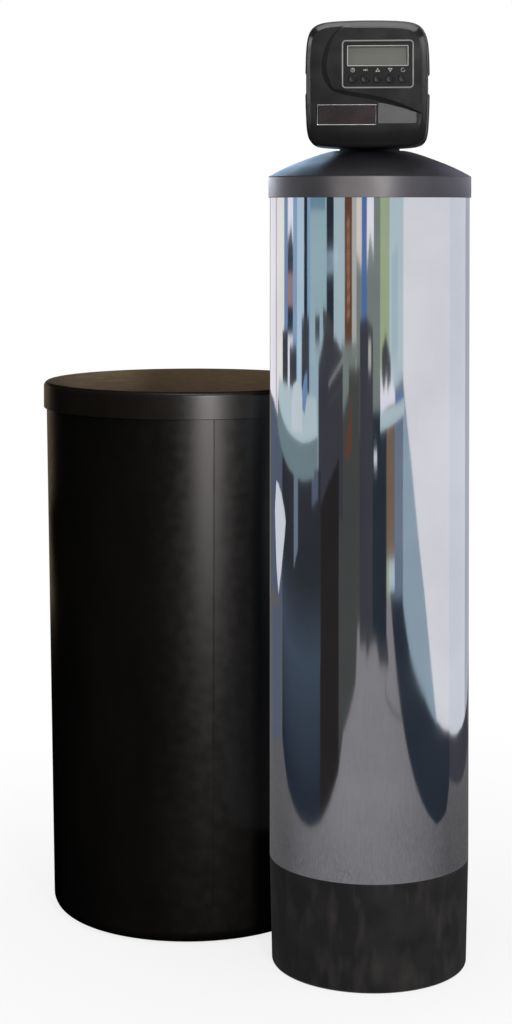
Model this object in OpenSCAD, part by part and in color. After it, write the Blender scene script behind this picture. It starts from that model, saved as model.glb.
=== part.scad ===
// Two-tank metered water softener.
// A resin tank in a polished jacket carries the control valve, and a round brine tank stands behind it.
// Millimetres, +Z up. The origin is on the resin tank's axis at the floor, and the valve faces -Y.

/* [Jacket and base] */
// Outside diameter of the polished jacket
jacket_d = 306; // [280:1:340]
// Sheet thickness of the jacket
jacket_wall = 0.8; // [0.6:0.1:1.5]
// Radial space between the jacket and the resin tank
jacket_gap = 4.2; // [3:0.1:8]
// Height of the ledge on the base that carries the jacket
base_h = 164; // [130:1:200]
// Thickness of the base under the resin tank
base_floor = 10; // [6:1:20]
// How much smaller the base's radius is at the floor
base_taper = 3.5; // [0:0.5:8]
// Rounding of the base's bottom edge
base_edge = 5; // [2:0.5:10]
// Height of the base's rim inside the jacket
base_rim_h = 20; // [10:1:40]

/* [Resin tank] */
// Height of the resin tank from its lowest point to the top of its neck
tank_h = 1230; // [1000:10:1400]
// Wall thickness of the resin tank
tank_wall = 5; // [3:0.5:7]
// Rise of the resin tank's lower head
lower_head = 80; // [60:1:100]
// Rise of the resin tank's upper head
upper_head = 70; // [60:1:90]
// Length of the neck above the upper head
neck_h = 28; // [24:1:40]
// Bore of the neck
neck_bore = 73; // [70:0.5:78]
// Wall of the neck
neck_wall = 10; // [9:0.5:11]
// Height of the gravel above the tank's lowest inside point
gravel_h = 115; // [100:1:150]
// Depth of the resin bed
resin_h = 670; // [400:10:850]

/* [Dome cover] */
// Height of the dome cover's skirt
skirt_h = 32; // [20:1:40]
// Wall of the skirt
skirt_wall = 2; // [1.5:0.1:4]
// Rise of the dome above the skirt
dome_rise = 42; // [34:1:50]
// Wall of the dome
dome_wall = 2.5; // [2:0.1:4]
// Diameter of the hole in the dome
dome_hole = 108; // [102:1:120]

/* [Riser] */
// Outside diameter of the riser tube
riser_d = 26.7; // [22:0.1:28]
// Wall of the riser tube
riser_wall = 2.2; // [1.5:0.1:3]
// Diameter of the lower distributor
distributor_d = 80; // [60:1:100]
// Diameter of the upper basket
basket_d = 58; // [50:1:64]
// Height of the upper basket
basket_h = 34; // [20:1:50]

/* [Valve body] */
// Height of the piston's axis above the top of the neck
axis_h = 70; // [64:1:80]
// Diameter of the valve's flange
flange_d = 92; // [90:1:98]
// Diameter of the barrel around the piston
barrel_d = 76; // [72:1:80]
// Bore of the barrel
barrel_bore = 60; // [58:0.5:62]
// Distance of each pipe port from the middle
port_x = 41; // [38:1:46]
// Bore of the pipe ports
port_bore = 26; // [22:0.5:28]
// Bore of the sockets for the supply pipes
socket_bore = 33.8; // [32:0.1:34.5]
// Depth of those sockets
socket_depth = 28; // [20:1:40]
// Bore of the drain tube's socket
drain_bore = 16; // [14:0.1:16.5]
// Bore of the brine tube's sockets
tube_bore = 9.6; // [9:0.1:10]

/* [Drive] */
// Tooth module of the gears
gear_module = 1; // [0.9:0.05:1.05]
// Teeth on the main gear
main_teeth = 45; // [40:1:48]
// Teeth on the large wheels of the reduction gears
wheel_teeth = 30; // [26:1:32]
// Teeth on the small pinions
pinion_teeth = 15; // [14:1:17]
// Clearance between meshing teeth along the pitch circle
backlash = 0.3; // [0.2:0.05:0.4]
// Face width of the gears
gear_w = 6; // [4:0.5:6]
// Travel of the piston
piston_travel = 30; // [20:1:31]
// Diameter of the piston
piston_d = 38; // [34:0.5:40]
// Diameter of the piston rod
rod_d = 10; // [8:0.5:11]
// Diameter of the drive motor
motor_d = 30; // [24:1:32]

/* [Valve cover] */
// Width of the valve cover
cover_w = 186; // [180:1:196]
// Height of the valve cover
cover_h = 192; // [188:1:200]
// Depth of the valve cover up to its face
cover_depth = 57; // [56:0.5:62]
// Wall of the valve cover
cover_wall = 2.5; // [2:0.1:3]
// Thickness of the face
face_wall = 5; // [4:0.5:5.5]
// Height of the raised panel on the face
panel_rise = 2.5; // [1.5:0.1:3]
// Width of the display's bezel
bezel_w = 106.7; // [102:0.1:110]
// Height of the display's bezel
bezel_h = 71.5; // [68:0.1:74]
// Width of the display window
window_w = 89.4; // [84:0.1:92]
// Height of the display window
window_h = 29.3; // [26:0.1:32]
// Diameter of the buttons
button_d = 12.5; // [10:0.1:14]
// Distance from button to button
button_pitch = 18.5; // [17.5:0.1:19]
// Travel of the buttons
button_travel = 1.2; // [0.5:0.1:1.3]
// Width of the bare badge
badge_w = 88.8; // [70:0.1:90]
// Height of the bare badge
badge_h = 31.4; // [26:0.1:32]

/* [Brine tank] */
// Diameter of the brine tank's lid
lid_d = 488; // [440:1:540]
// Height of the lid's top above the floor
brine_h = 873; // [800:1:950]
// Height of the lid's skirt
lid_skirt = 43; // [25:1:60]
// Wall of the lid
lid_wall = 3; // [2:0.1:5]
// Rounding of the lid's upper edge
lid_edge = 8; // [4:0.5:12]
// Wall of the brine tank
tub_wall = 4; // [3:0.1:6]
// Thickness of the brine tank's floor
tub_floor = 6; // [4:0.5:10]
// How much smaller the brine tank's radius is at the floor
tub_taper = 12.5; // [5:0.5:16]
// Rounding of the brine tank's bottom edge
tub_edge = 22; // [10:1:30]
// Space between the lid and the jacket
tank_gap = 3; // [2:0.5:60]
// Bearing of the brine tank from the resin tank, in degrees from +X
brine_bearing = 140.8; // [125:0.1:155]

/* [Brine fittings] */
// Diameter of the brine well
well_d = 110; // [100:1:116]
// Wall of the brine well
well_wall = 2.5; // [2:0.1:4]
// Room between the top of the brine well and the rim of the brine tank
well_room = 70; // [60:1:120]
// Distance of the brine well from the brine tank's middle
well_offset = 150; // [140:1:156]
// Height of the brine fitting above the floor
fitting_z = 625; // [560:1:680]
// Height of the overflow above the floor
overflow_z = 740; // [700:1:780]
// Diameter of the overflow's hose stem
stem_d = 16; // [14:0.1:18]
// Bearing of the overflow on the brine tank, in degrees from +X
overflow_bearing = 128; // [118:1:150]
// Height of the salt grid above the floor
grid_z = 120; // [90:1:160]
// Diameter of the float
float_d = 40; // [34:1:42]
// Lift of the float
float_lift = 15; // [5:1:25]

/* [Fits] */
// Clearance between pieces that fit together
fit = 0.3; // [0.2:0.05:0.4]

/* [Hidden] */
$fn = 96;

// Radii and heights of the resin tank and what is around it
jacket_r = jacket_d / 2;
jacket_ri = jacket_r - jacket_wall;
tank_r = jacket_ri - jacket_gap;
tank_ri = tank_r - tank_wall;
neck_ri = neck_bore / 2;
neck_r = neck_ri + neck_wall;
lower_z = base_floor + lower_head;
neck_top = base_floor + tank_h;
upper_z = neck_top - neck_h - upper_head;
inside_z = base_floor + tank_wall;
gravel_top = inside_z + gravel_h;
head_steps = 20;

// The dome's top edge clears the neck, and the jacket ends under the dome's ledge
dome_top = neck_top + 10;
crease_z = dome_top - dome_rise;
ledge_h = 5;
jacket_top = crease_z - ledge_h;
collar_r = jacket_r + fit + skirt_wall;
dome_arc_r = (pow(collar_r, 2) + pow(dome_rise, 2)) / (2 * dome_rise);

// Riser and its screens
riser_r = riser_d / 2;
distributor_z = inside_z + 9;
distributor_rim = 20;
hub_r = riser_r + 4.65;
hub_h = 36;
riser_seat = distributor_z + 6;
spigot_l = 24;

// Valve body, along Y from front to rear
axis_z = neck_top + axis_h;
flange_h = 12;
spigot_r = neck_ri - fit;
barrel_r = barrel_d / 2;
bore_r = barrel_bore / 2;
barrel_front = -46;
bore_end = 38;
barrel_rear = bore_end + 8;
port_z = axis_z - 12;
port_r = port_bore / 2 + 8;
port_collar_r = port_r + 4;
port_end = 66;
collar_l = 12;
oring_r = 2.4;
tail_flange = 6;
tail_r = socket_bore / 2 + 3.6;
tail_flange_r = port_collar_r - 1.5;
nut_r = port_collar_r + 6;
nut_start = port_end - collar_l + 2;
nut_lip = 6;
tower_y = 12;
injector_x = -24;
injector_top = axis_z + 62;
injector_bore = 11;
drain_x = 24;
drain_top = axis_z + 52;
drain_spigot = 9;
refill_y = 33;
refill_top = axis_z + 54;
refill_spigot = 6;

// Drive, along Y from the barrel's front towards the face
cap_h = 6;
plug_h = 5;
cap_front = barrel_front - cap_h;
plate_w = 3;
bracket_front = cap_front - plate_w;
layer_gap = 1;
layer_1 = bracket_front - 2;
layer_2 = layer_1 - gear_w - layer_gap;
layer_3 = layer_2 - gear_w - layer_gap;
gears_front = layer_3 - gear_w - layer_gap;
rod_r = rod_d / 2;
hub_gear_r = 10;
pin_r = 2;
piston_l = 36;
piston_front = barrel_front + plug_h + 3;
piston_r = piston_d / 2;
rod_front = layer_1 - gear_w + 1 - piston_travel;
seal_count = 5;
seal_w = 3.8;
stack_l = bore_end - (barrel_front + plug_h);
spacer_w = (stack_l - seal_count * seal_w) / (seal_count - 1);
main_r = gear_module * main_teeth / 2;
wheel_r = gear_module * wheel_teeth / 2;
pinion_r = gear_module * pinion_teeth / 2;
angle_1 = 150;
angle_2 = 110;
angle_3 = 120;
main_at = [0, axis_z];
gear_1_at = main_at + (main_r + pinion_r) * [cos(angle_1), sin(angle_1)];
gear_2_at = gear_1_at + (wheel_r + pinion_r) * [cos(angle_2), sin(angle_2)];
motor_at = gear_2_at + (wheel_r + pinion_r) * [cos(angle_3), sin(angle_3)];
shaft_r = 1.5;

// Valve cover and display
cover_back = cap_front;
cover_bottom = neck_top + 8;
cover_top = cover_bottom + cover_h;
face_y = cover_back - cover_depth;
panel_y = face_y - panel_rise;
face_in = face_y + face_wall;
display_x = 16.7;
bezel_z = cover_top - 31 - bezel_h / 2;
window_z = bezel_z + bezel_h / 2 - 8.7 - window_h / 2;
buttons_z = bezel_z - bezel_h / 2 + 14.1;
bezel_rim = 2.2;
bezel_round = 6;
bezel_back = panel_y + 1;
bezel_front = panel_y - 0.8;
overlay_w = 0.8;
lens_w = 1.5;
lens_rim = 3;
button_r = button_d / 2;
button_flange = 1.35;
button_front = panel_y - 1.1;
board_w = 1.6;
board_back = rod_front - 2;
board_front = board_back - board_w;
switch_h = 0.6;
button_back = board_front - switch_h - button_travel - fit;
badge_x = -29.6;
badge_z = cover_bottom + 34.8 + badge_h / 2;
badge_rim = 2;
badge_back = face_y + 1;
posts = [[-62, buttons_z - 8], [-62, window_z + 20], [76, buttons_z - 8], [76, window_z + 20]];
post_r = 3.5;
notch_drop = 95;
notch_h = 26;
notch_l = 16;

// Brine tank, its lid and what stands in it
lid_r = lid_d / 2;
tub_top_r = lid_r - lid_wall - fit - 0.7;
tub_foot_r = tub_top_r - tub_taper;
tub_h = brine_h - lid_wall;
brine_distance = jacket_r + lid_r + tank_gap;
brine_at = brine_distance * [cos(brine_bearing), sin(brine_bearing)];
well_r = well_d / 2;
well_top = tub_h - well_room;
well_slot_w = 6;
well_slot_h = 70;
well_slot_low = tub_floor + 12;
cap_skirt = 14;
cap_wall = 2.2;
cap_top = 3;
valve_x = -14;
rod_x = 18;
float_r = float_d / 2;
float_rod_r = 2.5;
valve_r = 14;
boss_r = 9;
boss_l = 20;
pickup_r = 6;
pickup_seat = 13;
check_r = 18;
check_h = 52;
valve_low = fitting_z - 25;
valve_h = 50;
guide_low = valve_low + 4;
guide_h = 8;
float_h = 80;
float_low = 330;
rod_low = float_low - 12;
fitting_r = 7.5;
fitting_out = 26;
grid_w = 6;
grid_r = tub_foot_r - tub_wall - 8;
leg_r = 20;

// Radius of the brine tank's outside at a height above the floor
function tub_r(z) = tub_foot_r + (tub_top_r - tub_foot_r) * (z - tub_edge) / (tub_h - tub_edge);

// Points of an arc of an ellipse, from angle a0 to a1
function arc(c, rx, rz, a0, a1, n) =
    [for (i = [0 : n]) let (a = a0 + (a1 - a0) * i / n) c + [rx * cos(a), rz * sin(a)]];

// Height of the dome's outside at a radius
function dome_z(r) = dome_top - dome_arc_r + sqrt(pow(dome_arc_r, 2) - pow(r, 2));

// A point of a cubic curve through two ends, drawn by two handles
function curve(p, t) =
    pow(1 - t, 3) * p[0] + 3 * pow(1 - t, 2) * t * p[1] + 3 * (1 - t) * t * t * p[2] + pow(t, 3) * p[3];

// Signed power, for outlines with rounded corners
function bent(v, e) = sign(v) * pow(abs(v), e);

// Outline of the valve cover, drawn in from its sides, top and bottom
corner_power = 2 / 7;
side_bow = 0.04;
outline_steps = 72;
function cover_outline(side, top, bottom) =
    let (w = cover_w / 2 - side, h = (cover_h - top - bottom) / 2,
        z = (cover_top - top + cover_bottom + bottom) / 2)
    [for (i = [0 : outline_steps - 1])
        let (a = 360 * i / outline_steps, u = bent(cos(a), corner_power), v = bent(sin(a), corner_power))
        [w * u * (1 - side_bow * v * v), z + h * v * (1 - side_bow * u * u)]];

// Half angle of a tooth at radius r, for a gear of n teeth
pressure = 20;
function inv(a) = tan(a) - a * PI / 180;
function tooth_half(n, r) =
    let (rp = gear_module * n / 2, rb = rp * cos(pressure), s = gear_module * PI / 2 - backlash)
    (s / (2 * rp) + inv(pressure) - inv(acos(min(1, rb / r)))) * 180 / PI;
function polar(r, a) = [r * cos(a), r * sin(a)];
function gear_outline(n, phase) =
    let (rp = gear_module * n / 2, root = rp - 1.2 * gear_module, low = max(root, rp * cos(pressure)),
        tip = rp + 0.9 * gear_module)
    [for (i = [0 : n - 1])
        let (a = phase + 360 * i / n, k = tooth_half(n, low), p = tooth_half(n, rp), t = tooth_half(n, tip))
        each [polar(root, a - k), polar(low + 0.01, a - k), polar(rp, a - p), polar(tip, a - t),
            polar(tip, a + t), polar(rp, a + p), polar(low + 0.01, a + k), polar(root, a + k)]];

// A shape drawn in X and Z, standing from y = back towards -Y
module standing(back, depth) {
    translate([0, back, 0])
        rotate([90, 0, 0])
            linear_extrude(depth)
                children();
}

// A round bar along Y from y0 to y1
module bar_y(x, z, r, y0, y1) {
    translate([x, y0, z])
        rotate([-90, 0, 0])
            cylinder(r = r, h = y1 - y0);
}

// A tube along Y
module tube_y(x, z, r, ri, y0, y1) {
    difference() {
        bar_y(x, z, r, y0, y1);
        bar_y(x, z, ri, y0 - 1, y1 + 1);
    }
}

module ring(r, ri, z0, z1) {
    translate([0, 0, z0])
        difference() {
            cylinder(r = r, h = z1 - z0);
            translate([0, 0, -1])
                cylinder(r = ri, h = z1 - z0 + 2);
        }
}

module rounded(w, h, r, at) {
    translate(at) {
        square([w - 2 * r, h], center = true);
        square([w, h - 2 * r], center = true);
        for (x = [-1, 1], z = [-1, 1])
            translate([x * (w / 2 - r), z * (h / 2 - r)])
                circle(r = r, $fn = 32);
    }
}

// The display window, grown by a border
module window_square(border) {
    translate([display_x, window_z])
        square([window_w + 2 * border, window_h + 2 * border], center = true);
}

// Resin tank group

module tank_base() {
    foot_r = jacket_r - base_taper;
    color([0.13, 0.13, 0.14])
        rotate_extrude()
            polygon(concat(
                [[0, 0]],
                arc([foot_r - base_edge, base_edge], base_edge, base_edge, -90, 0, 6),
                [[jacket_r, base_h], [jacket_ri - fit, base_h], [jacket_ri - fit, base_h + base_rim_h],
                    [tank_r + fit, base_h + base_rim_h]],
                arc([0, lower_z], tank_r + fit, lower_head + fit, 0, -90, head_steps)));
}

module mineral_tank() {
    neck_angle = acos(neck_r / tank_r);
    bore_angle = acos(neck_ri / tank_ri);
    color([0.25, 0.27, 0.3])
        rotate_extrude()
            polygon(concat(
                arc([0, lower_z], tank_r, lower_head, -90, 0, head_steps),
                arc([0, upper_z], tank_r, upper_head, 0, neck_angle, head_steps),
                [[neck_r, neck_top], [neck_ri, neck_top]],
                arc([0, upper_z], tank_ri, upper_head - tank_wall, bore_angle, 0, head_steps),
                arc([0, lower_z], tank_ri, lower_head - tank_wall, 0, -90, head_steps)));
}

module steel_jacket() {
    color([0.78, 0.79, 0.83])
        ring(jacket_r, jacket_ri, base_h, jacket_top);
}

module dome_cover() {
    ledge_r = jacket_ri - 2.5;
    hole_r = dome_hole / 2;
    color([0.27, 0.27, 0.29])
        rotate_extrude()
            polygon(concat(
                [[collar_r, crease_z - skirt_h]],
                [for (i = [0 : head_steps]) let (r = collar_r + (hole_r - collar_r) * i / head_steps)
                    [r, dome_z(r)]],
                [for (i = [0 : head_steps]) let (r = hole_r + (ledge_r - hole_r) * i / head_steps)
                    [r, dome_z(r) - dome_wall]],
                [[ledge_r, jacket_top], [jacket_r + fit, jacket_top], [jacket_r + fit, crease_z - skirt_h]]));
}

module riser_tube() {
    color([0.85, 0.86, 0.88])
        ring(riser_r, riser_r - riser_wall, riser_seat, neck_top + 8);
}

module lower_distributor() {
    nub_r = 8;
    slots = 12;
    color([0.9, 0.9, 0.88])
        difference() {
            union() {
                translate([0, 0, inside_z + 2 * fit])
                    cylinder(r = nub_r, h = distributor_z - inside_z);
                translate([0, 0, distributor_z])
                    cylinder(d = distributor_d, h = distributor_rim);
                translate([0, 0, distributor_z + distributor_rim - 1])
                    cylinder(r = hub_r, h = hub_h + 1);
            }
            translate([0, 0, riser_seat])
                cylinder(r = riser_r + fit, h = distributor_rim + hub_h + 1);
            for (i = [0 : slots - 1])
                rotate([0, 0, 360 * i / slots])
                    translate([hub_r + 5, -1.2, distributor_z + 4])
                        cube([distributor_d, 2.4, distributor_rim - 8]);
        }
}

module gravel_bed() {
    color([0.55, 0.5, 0.44])
        difference() {
            rotate_extrude()
                polygon(concat(
                    arc([0, lower_z], tank_ri - fit, lower_head - tank_wall - fit, -90, 0, head_steps),
                    [[tank_ri - fit, gravel_top], [0, gravel_top]]));
            cylinder(r = distributor_d / 2 + fit, h = distributor_z + distributor_rim + fit);
            cylinder(r = hub_r + fit, h = distributor_z + distributor_rim + hub_h + fit);
            cylinder(r = riser_r + fit, h = gravel_top + 1);
        }
}

module resin_bed() {
    color([0.62, 0.36, 0.12])
        ring(tank_ri - fit, riser_r + fit, gravel_top, gravel_top + resin_h);
}

module upper_basket() {
    slots = 12;
    basket_r = basket_d / 2;
    low = neck_top - spigot_l - basket_h;
    color([0.9, 0.9, 0.88])
        difference() {
            translate([0, 0, low])
                cylinder(r = basket_r, h = basket_h);
            translate([0, 0, low + 3])
                cylinder(r = basket_r - 3, h = basket_h);
            translate([0, 0, low - 1])
                cylinder(r = riser_r + fit, h = basket_h);
            for (i = [0 : slots - 1])
                rotate([0, 0, 360 * (i + 0.5) / slots])
                    translate([basket_r - 5, -1.2, low + 7])
                        cube([10, 2.4, basket_h - 14]);
        }
}

module tank_oring() {
    color([0.1, 0.1, 0.1])
        translate([0, 0, neck_top + oring_r + fit / 2])
            rotate_extrude()
                translate([neck_ri + neck_wall / 2, 0])
                    circle(r = oring_r, $fn = 32);
}

// Control valve

module valve_body() {
    seal_r = neck_ri + neck_wall / 2;
    color([0.1, 0.1, 0.11])
        difference() {
            union() {
                translate([0, 0, neck_top])
                    cylinder(d = flange_d, h = flange_h);
                translate([0, 0, neck_top - spigot_l])
                    cylinder(r = spigot_r, h = spigot_l + 1);
                translate([0, 0, neck_top + flange_h - 1])
                    cylinder(r = barrel_r - 4, h = axis_h - flange_h + 1);
                bar_y(0, axis_z, barrel_r, barrel_front, barrel_rear);
                for (s = [-1, 1]) {
                    bar_y(s * port_x, port_z, port_r, 0, port_end);
                    bar_y(s * port_x, port_z, port_collar_r, port_end - collar_l, port_end);
                }
                translate([-port_x, 22, port_z])
                    rotate([0, 90, 0])
                        cylinder(r = port_r - 4, h = 2 * port_x);
                translate([injector_x, tower_y, axis_z])
                    cylinder(r = injector_bore + 5, h = injector_top - axis_z);
                translate([drain_x, tower_y, axis_z])
                    cylinder(r = drain_spigot + 5, h = drain_top - axis_z);
                translate([0, refill_y, axis_z])
                    cylinder(r = refill_spigot + 4, h = refill_top - axis_z);
            }
            bar_y(0, axis_z, bore_r, barrel_front - 1, bore_end);
            translate([0, 0, neck_top - spigot_l - 1])
                cylinder(r = riser_r + fit, h = spigot_l + 10);
            translate([0, 0, neck_top])
                cylinder(r = riser_r - riser_wall - 1, h = axis_h);
            for (i = [0 : 3])
                rotate([0, 0, 90 * i + 45])
                    translate([riser_r + 9.5, 0, neck_top - spigot_l - 1])
                        cylinder(r = 4, h = spigot_l + axis_h - 20);
            ring(seal_r + oring_r + fit, seal_r - oring_r - fit, neck_top - 1, neck_top + 2 * oring_r + fit);
            for (s = [-1, 1])
                bar_y(s * port_x, port_z, port_bore / 2, 12, port_end + 1);
            translate([-port_x, 22, port_z])
                rotate([0, 90, 0])
                    cylinder(r = port_r - 12, h = 2 * port_x);
            translate([injector_x, tower_y, injector_top - 26])
                cylinder(r = injector_bore, h = 27);
            translate([injector_x, tower_y, axis_z])
                cylinder(r = 3, h = 50);
            translate([drain_x, tower_y, drain_top - 14])
                cylinder(r = drain_spigot + fit, h = 15);
            translate([drain_x, tower_y, axis_z])
                cylinder(r = 5, h = 50);
            translate([0, refill_y, refill_top - 12])
                cylinder(r = refill_spigot + fit, h = 13);
            translate([0, refill_y, axis_z])
                cylinder(r = 2.5, h = 50);
        }
}

module stack_spacers() {
    color([0.85, 0.84, 0.78])
        for (i = [0 : seal_count - 2]) {
            y0 = barrel_front + plug_h + seal_w + i * (spacer_w + seal_w);
            difference() {
                tube_y(0, axis_z, bore_r - fit, piston_r + 4, y0, y0 + spacer_w);
                for (a = [0, 60, 120])
                    translate([0, y0 + spacer_w / 2, axis_z])
                        rotate([0, a, 0])
                            cube([barrel_d, spacer_w - 7, 10], center = true);
            }
        }
}

module stack_seals() {
    color([0.12, 0.12, 0.12])
        for (i = [0 : seal_count - 1]) {
            y0 = barrel_front + plug_h + i * (spacer_w + seal_w);
            tube_y(0, axis_z, bore_r - fit, piston_r + fit, y0, y0 + seal_w);
        }
}

module main_piston() {
    groove = 3;
    color([0.82, 0.82, 0.84])
        difference() {
            bar_y(0, axis_z, piston_r, piston_front, piston_front + piston_l);
            tube_y(0, axis_z, piston_r + 1, piston_r - groove, piston_front + 13, piston_front + 23);
            bar_y(0, axis_z, rod_r + fit / 4, piston_front - 1, piston_front + 12);
        }
}

module piston_rod() {
    color([0.7, 0.7, 0.72])
        bar_y(0, axis_z, rod_r, rod_front, piston_front + 12);
}

module drive_cap() {
    lugs = 6;
    color([0.16, 0.16, 0.17])
        difference() {
            union() {
                bar_y(0, axis_z, barrel_r - 1, cap_front, barrel_front);
                bar_y(0, axis_z, bore_r - fit, barrel_front - 1, barrel_front + plug_h);
                for (i = [0 : lugs - 1])
                    translate([0, (cap_front + barrel_front) / 2, axis_z])
                        rotate([0, 360 * i / lugs, 0])
                            translate([barrel_r, 0, 0])
                                cube([6, cap_h, 8], center = true);
            }
            bar_y(0, axis_z, rod_r + fit, cap_front - 1, 0);
        }
}

module gear_layer(teeth, phase, at, back) {
    standing(back, gear_w)
        translate(at)
            polygon(gear_outline(teeth, phase));
}

module main_gear() {
    color([0.92, 0.9, 0.82])
        difference() {
            union() {
                gear_layer(main_teeth, angle_1, main_at, layer_1);
                bar_y(0, axis_z, hub_gear_r, layer_1 - 1, cap_front - fit);
            }
            bar_y(0, axis_z, rod_r + fit, gears_front, 0);
        }
}

// A wheel with its pinion one layer nearer the bracket
module compound_gear(at, back, pinion_phase, wheel_phase) {
    difference() {
        union() {
            gear_layer(pinion_teeth, pinion_phase, at, back);
            gear_layer(wheel_teeth, wheel_phase, at, back - gear_w - layer_gap);
            bar_y(at[0], at[1], pinion_r - 2, back - gear_w - layer_gap - 1, back - gear_w + 1);
        }
        bar_y(at[0], at[1], pin_r + fit, gears_front, 0);
    }
}

// Phase of a pinion that meets a tooth coming from the direction a
function met(a) = a + 180 + 180 / pinion_teeth;

module reduction_gear_1() {
    color([0.9, 0.88, 0.8])
        compound_gear(gear_1_at, layer_1, met(angle_1), angle_2);
}

module reduction_gear_2() {
    color([0.9, 0.88, 0.8])
        compound_gear(gear_2_at, layer_2, met(angle_2), angle_3);
}

module motor_pinion() {
    color([0.75, 0.65, 0.4])
        difference() {
            gear_layer(pinion_teeth, met(angle_3), motor_at, layer_3);
            bar_y(motor_at[0], motor_at[1], shaft_r + fit, gears_front, 0);
        }
}

module drive_motor() {
    motor_l = 34;
    color([0.6, 0.6, 0.62])
        union() {
            bar_y(motor_at[0], motor_at[1], motor_d / 2, cap_front, cap_front + motor_l);
            bar_y(motor_at[0], motor_at[1], motor_d / 4, cap_front + motor_l - 1, cap_front + motor_l + 3);
            bar_y(motor_at[0], motor_at[1], shaft_r, gears_front + fit, cap_front + 1);
        }
}

module drive_bracket() {
    color([0.14, 0.14, 0.15])
        difference() {
            union() {
                standing(cap_front, plate_w)
                    polygon(cover_outline(cover_wall + fit, cover_wall + fit, cover_wall + fit));
                for (p = posts)
                    bar_y(p[0], p[1], post_r, board_back, bracket_front + 1);
            }
            bar_y(0, axis_z, hub_gear_r + fit, bracket_front - 1, cap_front + 1);
            for (at = [gear_1_at, gear_2_at])
                bar_y(at[0], at[1], pin_r, bracket_front - 1, cap_front + 1);
            bar_y(motor_at[0], motor_at[1], shaft_r + 1, bracket_front - 1, cap_front + 1);
        }
}

module gear_pins() {
    color([0.78, 0.66, 0.35])
        for (at = [gear_1_at, gear_2_at])
            bar_y(at[0], at[1], pin_r - fit / 6, gears_front - plate_w, cap_front);
}

module gear_plate() {
    reach = 12;
    color([0.2, 0.2, 0.21])
        difference() {
            standing(gears_front, plate_w)
                hull() {
                    translate(gear_1_at)
                        circle(r = reach, $fn = 32);
                    translate(gear_2_at)
                        circle(r = reach, $fn = 32);
                    translate(motor_at)
                        circle(r = reach, $fn = 32);
                }
            for (at = [gear_1_at, gear_2_at])
                bar_y(at[0], at[1], pin_r, gears_front - plate_w - 1, gears_front + 1);
        }
}

module circuit_board() {
    left = posts[0][0] - post_r - 1;
    right = posts[2][0] + post_r;
    low = posts[0][1] - post_r - 2;
    high = posts[1][1] + post_r + 2;
    color([0.1, 0.35, 0.18])
        union() {
            standing(board_back, board_w)
                translate([left, low])
                    square([right - left, high - low]);
            for (i = [-2 : 2])
                standing(board_front, switch_h)
                    translate([display_x + i * button_pitch, buttons_z])
                        square(6, center = true);
        }
}

module lcd_module() {
    color([0.45, 0.46, 0.42])
        standing(board_front, board_front - face_in - fit)
            window_square(lens_rim);
}

// Valve cover

// Draw-in of the cover's outline along its depth: share of depth, side, top, bottom
cover_steps = [[0, 0, 0, 0], [0.77, 1, 1, 2], [0.9, 1.8, 1.7, 8], [1, 9, 9.5, 36]];

module cover_form(wall, front_wall) {
    hull()
        for (s = cover_steps)
            standing(cover_back - s[0] * (cover_depth - front_wall) + 0.01, 0.02)
                polygon(cover_outline(s[1] + wall, s[2] + wall, s[3] + wall));
}

// Lower edge of the raised panel, as two joined curves from the top left to the right
sweep_steps = 10;
sweep_left = [[-33, cover_top - 12], [-64, cover_top - 20], [-82, cover_top - 84], [-50, cover_top - 105]];
sweep_low = [sweep_left[3], [-30, cover_top - 118.5], [30, cover_top - 115], [82, cover_top - 144]];
sweep = concat(
    [for (i = [0 : sweep_steps]) curve(sweep_left, i / sweep_steps)],
    [for (i = [1 : sweep_steps]) curve(sweep_low, i / sweep_steps)]);

// Everything above that edge
module above_sweep() {
    above = cover_top + 1;
    polygon(concat(sweep, [[cover_w, sweep_low[3][1]], [cover_w, above], [sweep_left[0][0], above]]));
}

module panel_outline() {
    edge = cover_steps[3];
    intersection() {
        polygon(cover_outline(edge[1] + 1, edge[2] + 1, edge[3] + 1));
        above_sweep();
    }
}

// Shallow wedge under the panel's edge, deepest at the edge
module scoop() {
    scoop_left = badge_x + badge_w / 2 + 2.7;
    scoop_low = cover_bottom + cover_steps[3][3] + 1.5;
    scoop_right = cover_w / 2 - cover_steps[3][1] - 5;
    scoop_top = sweep_left[3][1] - 7;
    scoop_depth = 3;
    intersection() {
        standing(0, cover_depth - cover_back + 10)
            difference() {
                translate([scoop_left, scoop_low])
                    square([scoop_right - scoop_left, scoop_top - scoop_low]);
                above_sweep();
            }
        rotate([90, 0, 90])
            linear_extrude(cover_w)
                polygon([[face_y, scoop_low], [face_y + scoop_depth, scoop_top], [face_y - 5, scoop_top],
                    [face_y - 5, scoop_low]]);
    }
}

module front_cover() {
    color([0.11, 0.11, 0.12])
        difference() {
            union() {
                cover_form(0, 0);
                standing(face_y + 1, panel_rise + 1)
                    panel_outline();
            }
            translate([0, 0.1, 0])
                cover_form(cover_wall, face_wall);
            scoop();
            standing(bezel_back, 10)
                rounded(bezel_w + 2 * fit, bezel_h + 2 * fit, bezel_round + fit, [display_x, bezel_z]);
            standing(bezel_back + lens_w, 10)
                window_square(lens_rim + fit);
            standing(0, cover_depth - cover_back + 10)
                window_square(1);
            for (i = [-2 : 2])
                bar_y(display_x + i * button_pitch, buttons_z, button_r + fit + 0.1, panel_y - 5, 0);
            standing(badge_back, 20)
                rounded(badge_w + 2 * fit, badge_h + 2 * fit, 2, [badge_x, badge_z]);
            for (s = [-1, 1])
                translate([s * cover_w / 2, cover_back, cover_top - notch_drop])
                    cube([2 * cover_wall + 2, 2 * notch_l, notch_h], center = true);
        }
}

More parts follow.
